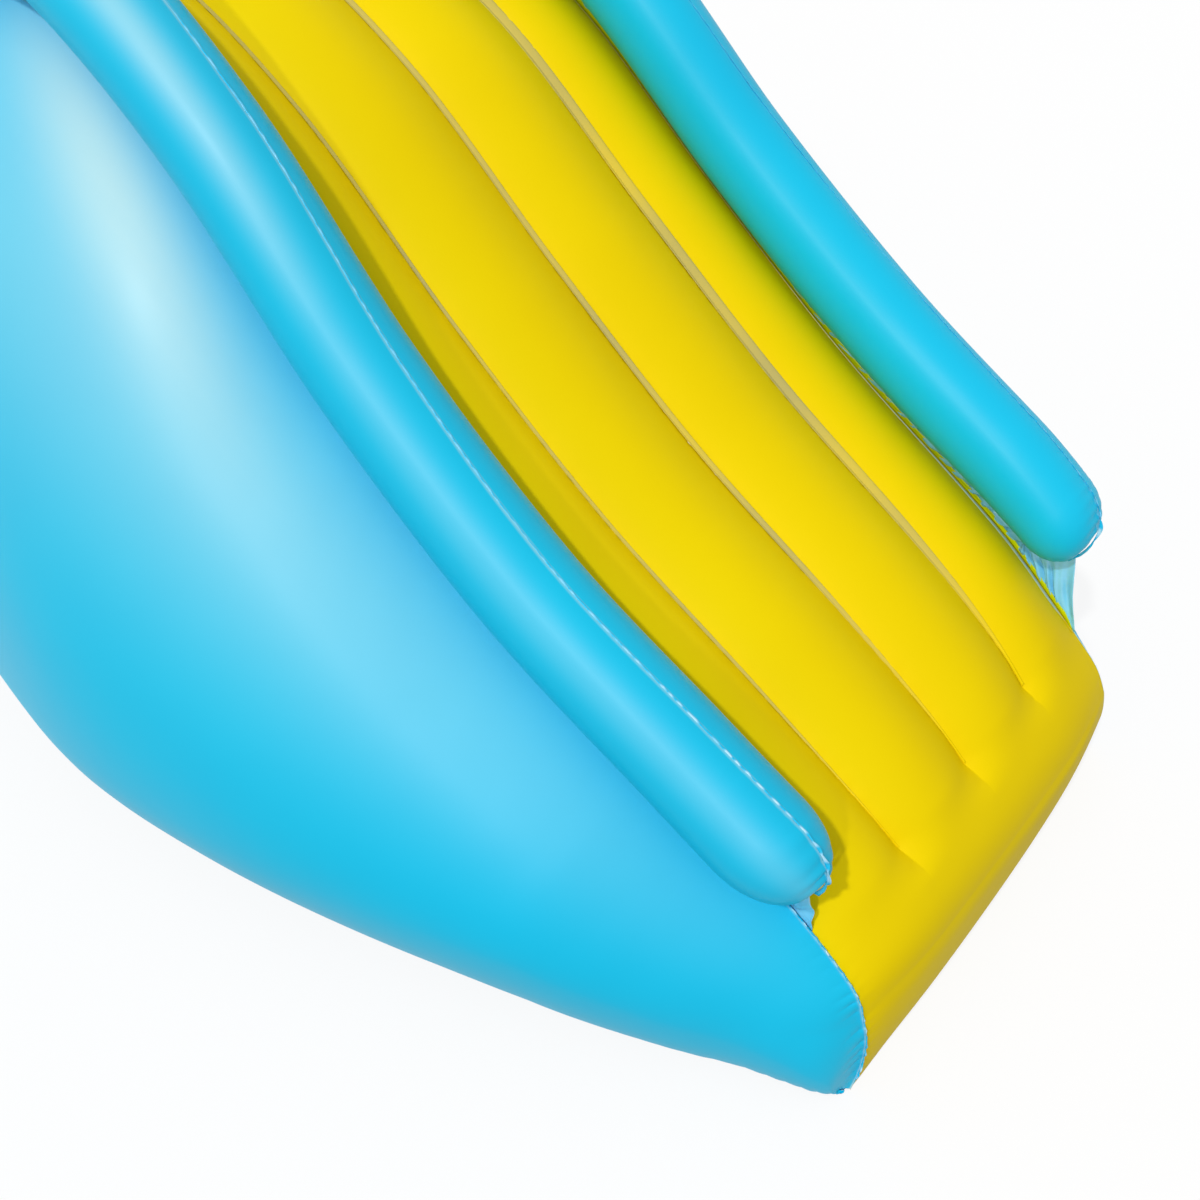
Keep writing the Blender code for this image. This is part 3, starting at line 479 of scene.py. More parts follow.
@lru_cache(maxsize=None)
def upward(v, line):
    """Unit normal of the centre line or of the seam, in the plane of the slide's length."""
    before = getattr(station(max(v - SMALL_ROW, 0)), line)
    after = getattr(station(min(v + SMALL_ROW, LAST)), line)
    step = after - before
    return Vector((0, -step.z, step.y)).normalized()


@lru_cache(maxsize=None)
def seam_runs():
    """Length of the bed seam up to each small step of the stations."""
    runs = [0.0]
    for k in range(int(LAST / RUN_STEP)):
        runs.append(runs[-1] + (station((k + 1) * RUN_STEP).seam - station(k * RUN_STEP).seam).length)
    return runs


def seam_run(v):
    runs = seam_runs()
    k = min(v / RUN_STEP, len(runs) - 1.001)
    return runs[int(k)] + (runs[int(k) + 1] - runs[int(k)]) * (k - int(k))


def ramp(value, start, length):
    return max(0.0, min(1.0, (value - start) / length))


def fade(distance, reach):
    """Bell that is one at the weld and dies out past its reach."""
    return math.exp(-(distance / reach) ** 2)


def drawn_back(point):
    """Lean of the nose: its left end and the left rail's tip lie further back than the right ones."""
    near = ramp(-point.y, SKEW_START, SKEW_LENGTH)
    half = SKEW_HALF_SHARE * BED_HALF_WIDTH
    across = ramp(point.x, -half, 2 * half)
    back = (NOSE_SKEW + NOSE_TUCK * (1 - ramp(point.z, 0, TUCK_HEIGHT))) * across**SKEW_POWER
    back += TIP_SKEW * (2 * across - 1) * ramp(point.z, TUCK_HEIGHT, TUCK_HEIGHT)
    return point + Vector((0, back * smooth(near), 0))


def smooth(share):
    return share**2 * (3 - 2 * share)


def evenly(start, end, count):
    return [start + (end - start) * k / count for k in range(count + 1)]


def in_legs(start, *legs):
    """Values from start through legs of (end, count)."""
    values = [start]
    for end, count in legs:
        values += evenly(values[-1], end, count)[1:]
    return values


def mirrored(point, side):
    return Vector((side * point.x, point.y, point.z))


# Puckers and slow unevenness of welded film
def lobes(run, key, pitch=PUCKER_PITCH):
    """Irregular scallops along a weld: nothing in the creases, about one on the lobes."""
    drift = noise.noise(Vector((run / (3 * pitch), key, 0)))
    size = 0.85 + 0.5 * noise.noise(Vector((run / (1.6 * pitch), key, 7)))
    return size * abs(math.sin(math.pi * (run / pitch + 0.8 * drift))) ** 0.75


def drawn_in(run, distance, key, depth, reach, pitch=PUCKER_PITCH):
    """How far the film falls back in the creases that a weld draws into it."""
    return -depth * (1 - lobes(run, key, pitch)) * fade(distance, reach)


def unevenness(spot, size, height):
    return height * noise.noise(spot / size)


# Making pieces
def film_sheet(columns, rows, place, relief=None, weld=None, flip=False):
    """A grid laid by place(share, row), then pushed along its normals by relief(share, row, spot).

    weld(share, row, spot) is stored on the points, for the lighter shade of welded film and for painted
    highlights, glints and sheen.
    """
    bm = bmesh.new()
    shade = bm.verts.layers.float.new("weld")
    across, along = len(columns) - 1, len(rows) - 1
    made = bmesh.ops.create_grid(bm, x_segments=across, y_segments=along, size=0.5)
    laid = {}
    for vert in made["verts"]:
        laid[vert] = (columns[round((vert.co.x + 0.5) * across)], rows[round((vert.co.y + 0.5) * along)])
        vert.co = drawn_back(place(*laid[vert]))
    bmesh.ops.remove_doubles(bm, verts=bm.verts, dist=MERGE_DISTANCE)
    bmesh.ops.dissolve_degenerate(bm, edges=bm.edges, dist=MERGE_DISTANCE)
    if flip:
        bmesh.ops.reverse_faces(bm, faces=bm.faces)
    bm.normal_update()
    for vert, (share, row) in laid.items():
        if not vert.is_valid:
            continue
        spot = vert.co.copy()
        if weld:
            vert[shade] = weld(share, row, spot)
        if relief:
            vert.co += vert.normal * relief(share, row, spot)
            vert.co.z = max(vert.co.z, 0)
    return bm


def cut_port(bm, seat):
    """Open the film under a valve's neck; the flange covers the rough edge."""
    inverse = seat.inverted()
    gone = []
    for face in bm.faces:
        spot = inverse @ face.calc_center_median()
        if math.hypot(spot.x, spot.y) < NECK_RADIUS and abs(spot.z) < NECK_DEPTH:
            gone.append(face)
    bmesh.ops.delete(bm, geom=gone, context="FACES")


def piece(name, bm, finish, slot, body="slide", stands_for=(), film=0.0, centred=False, sharp=40):
    """Turn a bmesh into a finished piece that rides on its body."""
    mesh = bpy.data.meshes.new(name)
    bm.to_mesh(mesh)
    bm.free()
    mesh.materials.append(finish)
    mesh.shade_smooth()
    mesh.set_sharp_from_angle(angle=math.radians(sharp))
    made = bpy.data.objects.new(name, mesh)
    bpy.context.collection.objects.link(made)
    if film:
        solid = made.modifiers.new("film", "SOLIDIFY")
        solid.thickness = film
        solid.offset = 0 if centred else -1
    return finished(made, slot, body, stands_for)


def finished(made, slot, body="slide", stands_for=()):
    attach(made, body)
    if stands_for:
        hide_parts(*stands_for)
    return made


def turned(profile, steps=ROUND_STEPS):
    """Spin a closed outline of (radius, height) points about Z."""
    bm = bmesh.new()
    ring = [bm.verts.new((radius, 0, height)) for radius, height in profile]
    edges = [bm.edges.new((ring[k], ring[(k + 1) % len(ring)])) for k in range(len(ring))]
    bmesh.ops.spin(bm, geom=ring + edges, cent=(0, 0, 0), axis=(0, 0, 1), angle=math.radians(360),
                   steps=steps, use_merge=True)
    bmesh.ops.remove_doubles(bm, verts=bm.verts, dist=MERGE_DISTANCE)
    bmesh.ops.dissolve_degenerate(bm, edges=bm.edges, dist=MERGE_DISTANCE)
    bmesh.ops.recalc_face_normals(bm, faces=bm.faces)
    return bm


def soften(bm, width, segments=2, angle=35):
    """Round every edge that turns more than the given angle."""
    sharp = [e for e in bm.edges if len(e.link_faces) == 2 and e.calc_face_angle() > math.radians(angle)]
    bmesh.ops.bevel(bm, geom=sharp, offset=width, offset_type="OFFSET", affect="EDGES", segments=segments,
                    profile=0.5, material=-1, clamp_overlap=True)


def block(size, middle):
    bm = bmesh.new()
    bmesh.ops.create_cube(bm, size=1)
    bmesh.ops.scale(bm, vec=size, verts=bm.verts)
    bmesh.ops.translate(bm, vec=middle, verts=bm.verts)
    return bm


def join(bm, *others):
    """Add other bmeshes to the first one."""
    for other in others:
        mesh = bpy.data.meshes.new("joined")
        other.to_mesh(mesh)
        other.free()
        bm.from_mesh(mesh)
        bpy.data.meshes.remove(mesh)
    return bm


def placed(bm, matrix):
    bmesh.ops.transform(bm, matrix=matrix, verts=bm.verts)
    return bm


def merged_copy(node):
    """Copy of a node's mesh with its triangles joined into plain faces."""
    bm = bmesh.new()
    bm.from_mesh(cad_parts[node].data)
    bmesh.ops.remove_doubles(bm, verts=bm.verts, dist=MERGE_DISTANCE)
    bmesh.ops.dissolve_limit(bm, angle_limit=math.radians(2), verts=bm.verts, edges=bm.edges)
    return bm


# Bed
def groove_x(v):
    spread = math.sin(math.pi * ramp(v, GROOVE_END, CREST_ROW - GROOVE_END))
    return bed_half(v) * (GROOVE_SHARE + GROOVE_SPREAD_SHARE * spread)


def bed_half(v):
    """Half the width of the bed's film."""
    return station(v).seam.x - SEAM_GAP


def bed_point(share, v):
    """Bed surface: four crowned channels that merge into a plain roll at the nose."""
    here = station(v)
    side = 2 * share - 1
    half, groove = bed_half(v), groove_x(v)
    outer = abs(side) > 0.5
    t = (abs(side) - 0.5) * 2 if outer else abs(side) * 2
    x = groove + (half - groove) * t if outer else groove * t
    fall = t**2 if outer else 0.0
    arc = 4 * t * (1 - t) * (1 - OUTER_FLAT_SHARE * t if outer else 1)
    grooved = smooth(ramp(v, GROOVE_END - GROOVE_FADE / 2, GROOVE_FADE))
    crown_start = GROOVE_END + GROOVE_FADE / 2 - CROWN_FADE
    crown = CHANNEL_CROWN * ramp(v, crown_start, CROWN_FADE) * ramp(BED_TOP - v, 0, TOP_FADE)
    point = here.centre.lerp(Vector((0, here.seam.y, here.seam.z)), fall)
    point += upward(v, "centre") * crown * (arc * grooved + (1 - fall) * (1 - grooved))
    return Vector((math.copysign(x, side), point.y, max(point.z, 0)))


def bed_share(x, v):
    """Share across the bed at a distance from its centre line."""
    half, groove = bed_half(v), groove_x(v)
    out = abs(x)
    side = out / groove / 2 if out < groove else 0.5 + (out - groove) / (half - groove) / 2
    return 0.5 + math.copysign(side, x) / 2


def seam_distance(spot, v, side):
    return (spot - drawn_back(mirrored(station(v).seam, side))).length


def groove_distance(spot, v):
    return min(abs(spot.x), abs(abs(spot.x) - groove_x(v)))


def bed_relief(share, v, spot):
    side = 1 if share > 0.5 else -1
    run = seam_run(v)
    off = seam_distance(spot, v, side)
    edge = drawn_in(run, off, side, *BED_EDGE_CREASES) * ramp(off, HELD, 0.006)
    held = ramp(v, GROOVE_END - GROOVE_FADE, GROOVE_FADE) * ramp(BED_TOP - v, 0, TOP_FADE)
    weld = drawn_in(run, groove_distance(spot, v), round(share * 4), *GROOVE_CREASES) * held
    return edge + weld + unevenness(spot, *BED_WAVES) * ramp(off, HELD, 0.03)


def crowned(share, low, rise):
    """Height of a pressed weld across its width."""
    return low + rise * math.sin(math.pi * share)


def build_bed():
    channels = [(c + 0.5 - 0.5 * math.cos(math.pi * k / 18)) / 4 for c in range(4) for k in range(18)]
    rows = in_legs(0, (6, 84), (9, 84), (BED_TOP, 120))
    bm = film_sheet([*channels, 1.0], rows, bed_point, bed_relief)
    piece("bed_film", bm, YELLOW_VINYL, "yellow_film", stands_for=["bed_sheet"], film=FILM)


def build_groove_welds():
    """Pressed weld ribbons that hold the bed down, their grey-beige colour partly a painted sheen; they run
    out into plain film towards the nose.
    """
    for name, place in GROOVES:
        def ribbon(share, v):
            wide = GROOVE_WELD_WIDTHS[name] * (0.3 + 0.7 * smooth(ramp(v, 5.6, 2)))
            x = place * groove_x(v) + (share - 0.3) * wide
            return bed_point(bed_share(x, v), v) + upward(v, "centre") * crowned(share, *GROOVE_WELD_LIFT)

        # Grey-beige weld tone, partly a painted sheen along the grooves, cloudy along its length and fading
        # out towards the nose.
        def faded(share, v, spot):
            cloudy = 0.75 + 0.5 * noise.noise(Vector((seam_run(v) / 0.2, place, 3)))
            return smooth(ramp(v, 5.7, 1.6)) * cloudy

        rows = in_legs(GROOVE_END + 0.35, (9, 110), (BED_TOP - 0.4, 90))
        bm = film_sheet(evenly(0, 1, 6), rows, ribbon, weld=faded)
        piece(f"{name}_groove_weld", bm, YELLOW_VINYL, "yellow_film", film=FLANGE_FILM)


def build_bed_edge_welds():
    """Greyish weld along each side of the bed, where the web is fixed below it."""
    for name, side in SIDES:
        def ribbon(share, v):
            swell = smooth(ramp(v, 5.35, 0.5)) * (1 - smooth(ramp(v, 6.4, 1.6)))
            x = bed_half(v) - EDGE_WELD_INSET - share * EDGE_WELD_WIDTH * (0.25 + 0.75 * swell)
            inner = bed_point(0.5 + 0.5 * x / bed_half(v), v)
            inner.x = x
            return mirrored(inner, side) + upward(v, "seam") * crowned(share, *EDGE_WELD_LIFT)

        def faded(share, v, spot):
            return ramp(v, 5.35, 0.4) * (1 - 0.7 * ramp(v, 7, 2))

        rows = in_legs(EDGE_START[name], (9, 110), (BED_TOP - 0.4, 90))
        bm = film_sheet(evenly(0, 1, 5), rows, ribbon, weld=faded, flip=side > 0)
        piece(f"{name}_bed_edge_weld", bm, EDGE_WELD, "yellow_film", film=FLANGE_FILM)


def build_seam_flanges():
    """Trimmed film edges of the bed seam.

    The bed's edge stands up beside the rail. The side panel's leans outward and runs on round the nose.
    """
    for name, side in SIDES:
        def bed_edge(share, v):
            run = seam_run(v)
            high = YELLOW_EDGE_HEIGHT * smooth(ramp(v, 5, 0.5)) * (0.95 + 0.12 * lobes(run, side * 5))
            aside = (lobes(run, side * 3) - 0.5) * YELLOW_EDGE_WAVE * share - FLANGE_FILM
            return mirrored(station(v).seam + upward(v, "seam") * high * share + Vector((aside, 0, 0)), side)

        def panel_edge(share, v):
            run = seam_run(v)
            normal, outward = upward(v, "seam") * 0.7, Vector((0.7, 0, 0))
            ends = smooth(ramp(v, BLUE_EDGE_START[name], 0.6))
            root, free = max(0, 1 - 3 * share), max(0, 1.5 * share - 0.5)
            wide = (BLUE_EDGE_WIDTH + BLUE_EDGE_SCALLOP * lobes(run, side * 7)) * ends
            aside = (lobes(run, side * 9) - 0.5) * BLUE_EDGE_WAVE * free * ends * (1 - 0.6 * ramp(v, 6, 2))
            spot = station(v).seam - upward(v, "seam") * BLUE_EDGE_ROOT * root
            spot += (normal + outward).normalized() * wide * free + (outward - normal) * aside
            return mirrored(Vector((spot.x, spot.y, max(spot.z, FILM))), side)

        # Painted glints on the scallops of the seam flange.
        def glint(share, v, spot):
            return 0.8 * ramp(lobes(seam_run(v), side * 7), 0.7, 0.25) * share

        rows = in_legs(EDGE_START[name], (9, 240), (17, 260))
        bm = film_sheet(evenly(0, 1, 3), rows, bed_edge)
        piece(f"{name}_seam_yellow_flange", bm, YELLOW_WELD, "yellow_film", film=FLANGE_FILM, centred=True)
        rows = in_legs(BLUE_EDGE_ROWS[name], (6.5, 300), (17, 260), (LAST - 0.1, 120))
        bm = film_sheet(evenly(0, 1, 3), rows, panel_edge, weld=glint)
        piece(f"{name}_seam_blue_flange", bm, BLUE_WELD, "blue_film", film=WELD_FILM, centred=True)


# Side panels
def panel_point(share, v):
    """Right-hand half of the body's side: a bulging flank from the bed seam to the ground."""
    here = station(v)
    seam = here.seam + Vector((SEAM_GAP, 0, 0))
    widest = min(BULGE_HEIGHT, BULGE_SHARE * seam.z)
    reach = here.outline - Vector((seam.x, seam.y, 0))
    if share < WIDEST_SHARE:
        angle = math.radians(90) * share / WIDEST_SHARE
        spot = seam + reach * math.sin(angle) ** SHOULDER_SHARE
        spot.z = widest + (seam.z - widest) * max(math.cos(angle), 0) ** SHOULDER_SHARE
        return spot
    angle = math.radians(90) * (share - WIDEST_SHARE) / (1 - WIDEST_SHARE)
    tuck = min(TUCK_SHARE * widest, reach.length / 2)
    spot = Vector((seam.x, seam.y, 0)) + reach - reach.normalized() * tuck * (1 - math.cos(angle))
    spot.z = widest - (widest - FILM) * math.sin(angle)
    return spot


def build_side_panel(name, side):
    """Inflated side film, drawn into puckers by its welds, with a pale weld line at its seam and a painted
    highlight near the crest.
    """
    def place(share, v):
        spot = panel_point(share, v)
        seam = station(v).seam.x
        slim = SLIM_NOSE[name] + (1 - SLIM_NOSE[name]) * smooth(ramp(v, 4, 3.5))
        spot.x = seam + (spot.x - seam) * slim
        return mirrored(spot, side)

    def relief(share, v, spot):
        run = seam_run(v)
        off = seam_distance(spot, v, side)
        strength = (1 - 0.8 * ramp(v, 5, 1.5)) * (0.35 + 0.65 * ramp(-v, -4.6, 1.2)) * ramp(v, 0.4, 1)
        top = drawn_in(run, off, side * 3, *PANEL_TOP_CREASES) * strength * ramp(off, HELD, 0.008)
        foot = drawn_in(run, max(spot.z, 0), side * 9, *PANEL_FOOT_CREASES) * ramp(v, 0.8, 1.5)
        return top + foot + unevenness(spot, *PANEL_WAVES) * ramp(share, 0, 0.2)

    # Painted highlight: a bell of paler film across and along the panel.
    def painted_highlight_bell(share, v, strength, middle, reach, row, rows, slant=0.0):
        return strength * fade(share - middle + slant * (v - row), reach) * fade(v - row, rows)

    # The pale weld line at the seam and the painted highlight, whichever is stronger.
    def weld_line_and_painted_highlight(share, v, spot):
        weld = 0.9 * fade(seam_distance(spot, v, side), 0.0025)
        return max(weld, painted_highlight_bell(share, v, *CREST_PAINTED_HIGHLIGHT) + painted_highlight_bell(share, v, *SHOULDER_PAINTED_HIGHLIGHT))

    columns = in_legs(0, (0.12, 16), (0.85, 34), (1, 12))
    rows = in_legs(0.12, (6.5, 230), (17, 150), (LAST - 0.12, 70))
    bm = film_sheet(columns, rows, place, relief, weld_line_and_painted_highlight, flip=side < 0)
    piece(f"{name}_side_film", bm, BLUE_VINYL, "blue_film", stands_for=[f"{name}_side_panel"], film=FILM)


# Rails, their welds and webs
def rail_swell(v):
    """Radius share along a rail: one, falling to nothing in the round ends."""
    near = min(ramp(v, RAIL_TIP, RAIL_TIP_ROUND), ramp(-v, -RAIL_TAIL, RAIL_TAIL_ROUND))
    return math.sqrt(max(0.0, 1 - (1 - near) ** 2))


@lru_cache(maxsize=None)
def rail_frame(v):
    here = station(v)
    normal = upward(v, "seam")
    centre = here.seam + normal * (RAIL_RADIUS + here.lift) + Vector((here.outset, 0, 0))
    return centre, normal, math.asin(here.outset / RAIL_RADIUS)


def rail_point(share, v, extra=0.0, radius=RAIL_RADIUS):
    """Left-hand rail; share 0 is the line where its web is welded."""
    centre, normal, weld = rail_frame(v)
    angle = weld + math.radians(360) * share
    out = radius * rail_swell(v) + extra
    return centre - out * (math.cos(angle) * normal + math.sin(angle) * Vector((1, 0, 0)))


def round_rail_point(share, v, extra=0.0):
    return rail_point(share, v, extra, RAIL_RADIUS * ROUND_SHARE)


def weld_share(name):
    """Where a rail's upper weld lies round it."""
    return 0.5 + RAIL_WELD_TILT[name] / 360


def rail_rows():
    bend = [1 - math.cos(math.radians(90) * k / 26) for k in range(26)]
    nose = [RAIL_TIP + RAIL_TIP_ROUND * b for b in bend]
    rear = [RAIL_TAIL - RAIL_TAIL_ROUND * b for b in reversed(bend)]
    middle = in_legs(RAIL_TIP + RAIL_TIP_ROUND, (8, 50), (15.8, 130), (16.7, 24),
                     (RAIL_TAIL - RAIL_TAIL_ROUND, 20))
    return [*nose, *middle, *rear]


def cell_seat(share, row, side, outward_x, lift=0.0):
    """Frame on one flat cell of the solid rail: Z outward and X along the slide."""
    corners = [mirrored(rail_point(s / RAIL_FACETS, v), side)
               for v in (row - HALF_ROW / 2, row + HALF_ROW / 2) for s in (share, share + 1)]
    middle = sum(corners, Vector()) / 4
    along = (corners[2] + corners[3] - corners[0] - corners[1]).normalized()
    across = corners[1] + corners[3] - corners[0] - corners[2]
    normal = across.cross(along).normalized() * side
    if (normal.x * side if outward_x else normal.z) < 0:
        normal.negate()
    return seat_matrix(middle, normal, along, lift)


def seat_matrix(middle, normal, along, lift=0.0):
    across = normal.cross(along).normalized()
    seat = Matrix((along, across, normal)).transposed().to_4x4()
    seat.translation = middle + normal * lift
    return seat


def rail_valve_seat(side):
    return cell_seat(RAIL_VALVE_CELL, RAIL_VALVE_ROW, side, True, GAP)


def build_rail(name, side):
    """Round air-filled rail, creased at its ends and drawn flat round its valve."""
    seat = rail_valve_seat(side)
    inverse = seat.inverted()
    top = weld_share(name)
    plain, upper_adds, highlight_share, highlight_reach = RAIL_PAINTED_HIGHLIGHT[name]

    def place(share, v):
        return mirrored(round_rail_point(share, v), side)

    def around(v):
        return math.tau * RAIL_RADIUS * rail_swell(v)

    def relief(share, v, spot):
        run = seam_run(v)
        ends = 1 - ramp(v, RAIL_TIP, 1.1) + ramp(v, RAIL_TAIL - 0.5, 0.4)
        depth = RAIL_CREASE + TIP_CREASE * ends**2
        pushed = drawn_in(run, abs(share - top) * around(v), side * 11, depth, 0.02 + 0.02 * ends, 0.018)
        pushed += drawn_in(run, min(share, 1 - share) * around(v), side * 13, depth * 0.8, 0.03, 0.022)
        pushed += unevenness(spot, *RAIL_WAVES)
        local = inverse @ spot
        near = 1 - ramp(math.hypot(local.x, local.y), FLANGE_RADIUS, 0.012)
        return pushed * (1 - near) + (-local.z - GAP) * near * (1 if abs(local.z) < NECK_DEPTH else 0)

    # Painted highlights: a thin white line along the upper weld, and a paler band along the ridge that grows
    # on the upper slope.
    def weld(share, v, spot):
        upper = ramp(v, 9.2, 1) * ramp(-v, -12.5, 1.5)
        ridge_painted_highlight = (plain + upper_adds * upper) * fade(share - highlight_share, highlight_reach)
        return max(0.4 * fade(abs(share - top) * around(v), 0.0015), ridge_painted_highlight)

    bm = film_sheet(evenly(0, 1, 96), rail_rows(), place, relief, weld, flip=side < 0)
    cut_port(bm, seat)
    made = piece(f"{name}_rail_film", bm, BLUE_VINYL, "blue_film", stands_for=[f"{name}_rail"], film=FILM)


def build_rail_flange(name, side):
    """Trimmed weld edge of a rail: over its top, round the tip and back along its underside to the web."""
    top = weld_share(name)
    lean = math.copysign(1, RAIL_WELD_TILT[name] * side) * side

    def along(turn):
        """Station and signed run of a place on the edge, which turns back at the tip."""
        v = RAIL_TIP + abs(turn - RAIL_TIP)
        return v, seam_run(v) * (1 if turn >= RAIL_TIP else -1)

    def edge(share, turn):
        v, run = along(turn)
        upper = turn >= RAIL_TIP
        spot = round_rail_point(top if upper else 0, v)
        heart = rail_frame(max(v, RAIL_TIP + RAIL_TIP_ROUND))[0]
        out = (spot - heart).normalized()
        tip = smooth(1 - ramp(v, RAIL_TIP, 0.5))
        aside = Vector((1, 0, 0)) - out * out.x
        wide = RAIL_EDGE_WIDTH + RAIL_EDGE_SCALLOP * lobes(run, side * 17)
        wide += TIP_EDGE * tip * lobes(run, side * 17, TIP_EDGE_PITCH)
        tilt = math.radians(62) * (1 - tip) * (1 if upper else 0)
        wave = (lobes(run, side * 19, 0.021) - 0.5) * (RAIL_EDGE_WAVE + TIP_EDGE * tip) * share
        spot = spot + out * (wide * share * math.cos(tilt) - FILM)
        spot += aside * (lean * wide * share * math.sin(tilt) + wave)
        return mirrored(spot, side)

    # Painted glints on the scallops of the rail's weld edge, stronger at the tip.
    def glint(share, turn, spot):
        strength = 0.3 + 0.5 * (1 - ramp(turn, 6.6, 1.5))
        return ramp(lobes(along(turn)[1], side * 17), 0.55, 0.3) * (1 - 0.5 * share) * strength

    rows = in_legs(2 * RAIL_TIP - 6.9, (RAIL_TIP, 110), (7.3, 160), (16.9, 420), (RAIL_TAIL - 0.01, 90))
    bm = film_sheet(evenly(0, 1, 3), rows, edge, weld=glint)
    piece(f"{name}_rail_weld_flange", bm, BLUE_WELD, "blue_film", film=FLANGE_FILM, centred=True)


def web_head(v, foot):
    """Station on the rail that the web reaches from a station of the bed seam."""
    return max(v, min(RAIL_TIP + RAIL_TIP_ROUND, RAIL_TIP + 0.02 + (v - foot) * 0.45))


def build_web(name, side):
    """Loose film between the bed seam and the rail, gathered into folds under the rail's tip."""
    start = WEB_FOOT[name]

    def hang(share, v):
        low = station(v).seam + upward(v, "seam") * 0.001
        return mirrored(low.lerp(round_rail_point(0, web_head(v, start), FLANGE_FILM), share), side)

    def relief(share, v, spot):
        run = seam_run(v)
        loose = math.sin(math.pi * share) * ramp(share, 0.05, 0.25) * (0.25 + 0.75 * (1 - ramp(v, 6, 2.2)))
        slant = run + 0.03 * share + 0.02 * noise.noise(Vector((run / 0.05, side * 4, share)))
        fold = math.sin(math.tau * slant / 0.034) + 0.5 * math.sin(math.tau * slant / 0.019 + 2)
        return loose * (WEB_FOLD * fold + unevenness(spot, *WEB_WAVES))

    bm = film_sheet(evenly(0, 1, 20), in_legs(start, (8.2, 190), (WEB_TOP_END, 180)), hang, relief)
    long = seam_run(WEB_TOP_END) - seam_run(start)
    mean_width = sum(face.calc_area() for face in bm.faces) / long
    made = piece(f"{name}_web_film", bm, CLEAR_BLUE, "pale_film", stands_for=[f"{name}_rail_web"],
                 film=FILM / 2, centred=True)


# Ladder side
def ladder_point(share, v):
    """Ladder side of the body, flat across with rounded edges."""
    here = station(v)
    side = 2 * share - 1
    half = here.seam.x - SEAM_GAP
    fall = ramp(abs(side), 1 - LADDER_EDGE_SHARE, LADDER_EDGE_SHARE) ** 2
    point = here.centre.lerp(Vector((0, here.seam.y, here.seam.z)), fall)
    return Vector((side * half, point.y, point.z))


def ladder_valve_seat(place):
    low, high = (station(LADDER_VALVE_ROW + half).centre for half in (-HALF_ROW / 2, HALF_ROW / 2))
    along = (high - low).normalized()
    middle = (low + high) / 2 + Vector((place * LADDER_VALVE_SHARE * BED_HALF_WIDTH, 0, 0))
    return seat_matrix(middle, Vector((0, -along.z, along.y)), along, GAP)


def build_ladder_panel():
    """Film of the ladder side, drawn in along its four welds and flat round its two ports."""
    seats = [ladder_valve_seat(place) for place in (1, -1)]

    def relief(share, v, spot):
        side = 1 if share > 0.5 else -1
        held = min(ramp(math.hypot(*(seat.inverted() @ spot).xy), FLANGE_RADIUS, 0.015) for seat in seats)
        sides = drawn_in(seam_run(v), seam_distance(spot, v, side), side * 21, *LADDER_SIDE_CREASES)
        foot = drawn_in(spot.x, max(spot.z, 0), 23, *LADDER_FOOT_CREASES)
        top = drawn_in(spot.x, (v - BED_TOP) * 0.18, 25, *LADDER_TOP_CREASES)
        return (sides + foot + top + unevenness(spot, *LADDER_WAVES)) * held

    columns = in_legs(0, (0.12, 14), (0.88, 50), (1, 14))
    rows = in_legs(BED_TOP + SMALL_ROW, (17.8, 130), (18.7, 50), (LAST, 70))
    bm = film_sheet(columns, rows, ladder_point, relief)
    for seat in seats:
        cut_port(bm, seat)
    piece("ladder_film", bm, BLUE_VINYL, "blue_film", stands_for=["ladder_panel"], film=FILM)


def build_crest_weld():
    """Cross weld where the bed's film meets the ladder's."""
    def bead(share, across):
        along = (station(BED_TOP + 0.1).centre - station(BED_TOP - 0.1).centre).normalized()
        rise = crowned(share, 0.0004, 0.0014) + 0.0012 * lobes(across * 0.7, 31) * share
        spot = bed_point(across, BED_TOP) + along * (share - 0.5) * CREST_WELD_WIDTH
        return spot + upward(BED_TOP, "centre") * rise

    bm = film_sheet(evenly(0, 1, 6), evenly(0.01, 0.99, 220), bead, flip=True)
    piece("crest_weld", bm, YELLOW_WELD, "yellow_film", film=FLANGE_FILM)


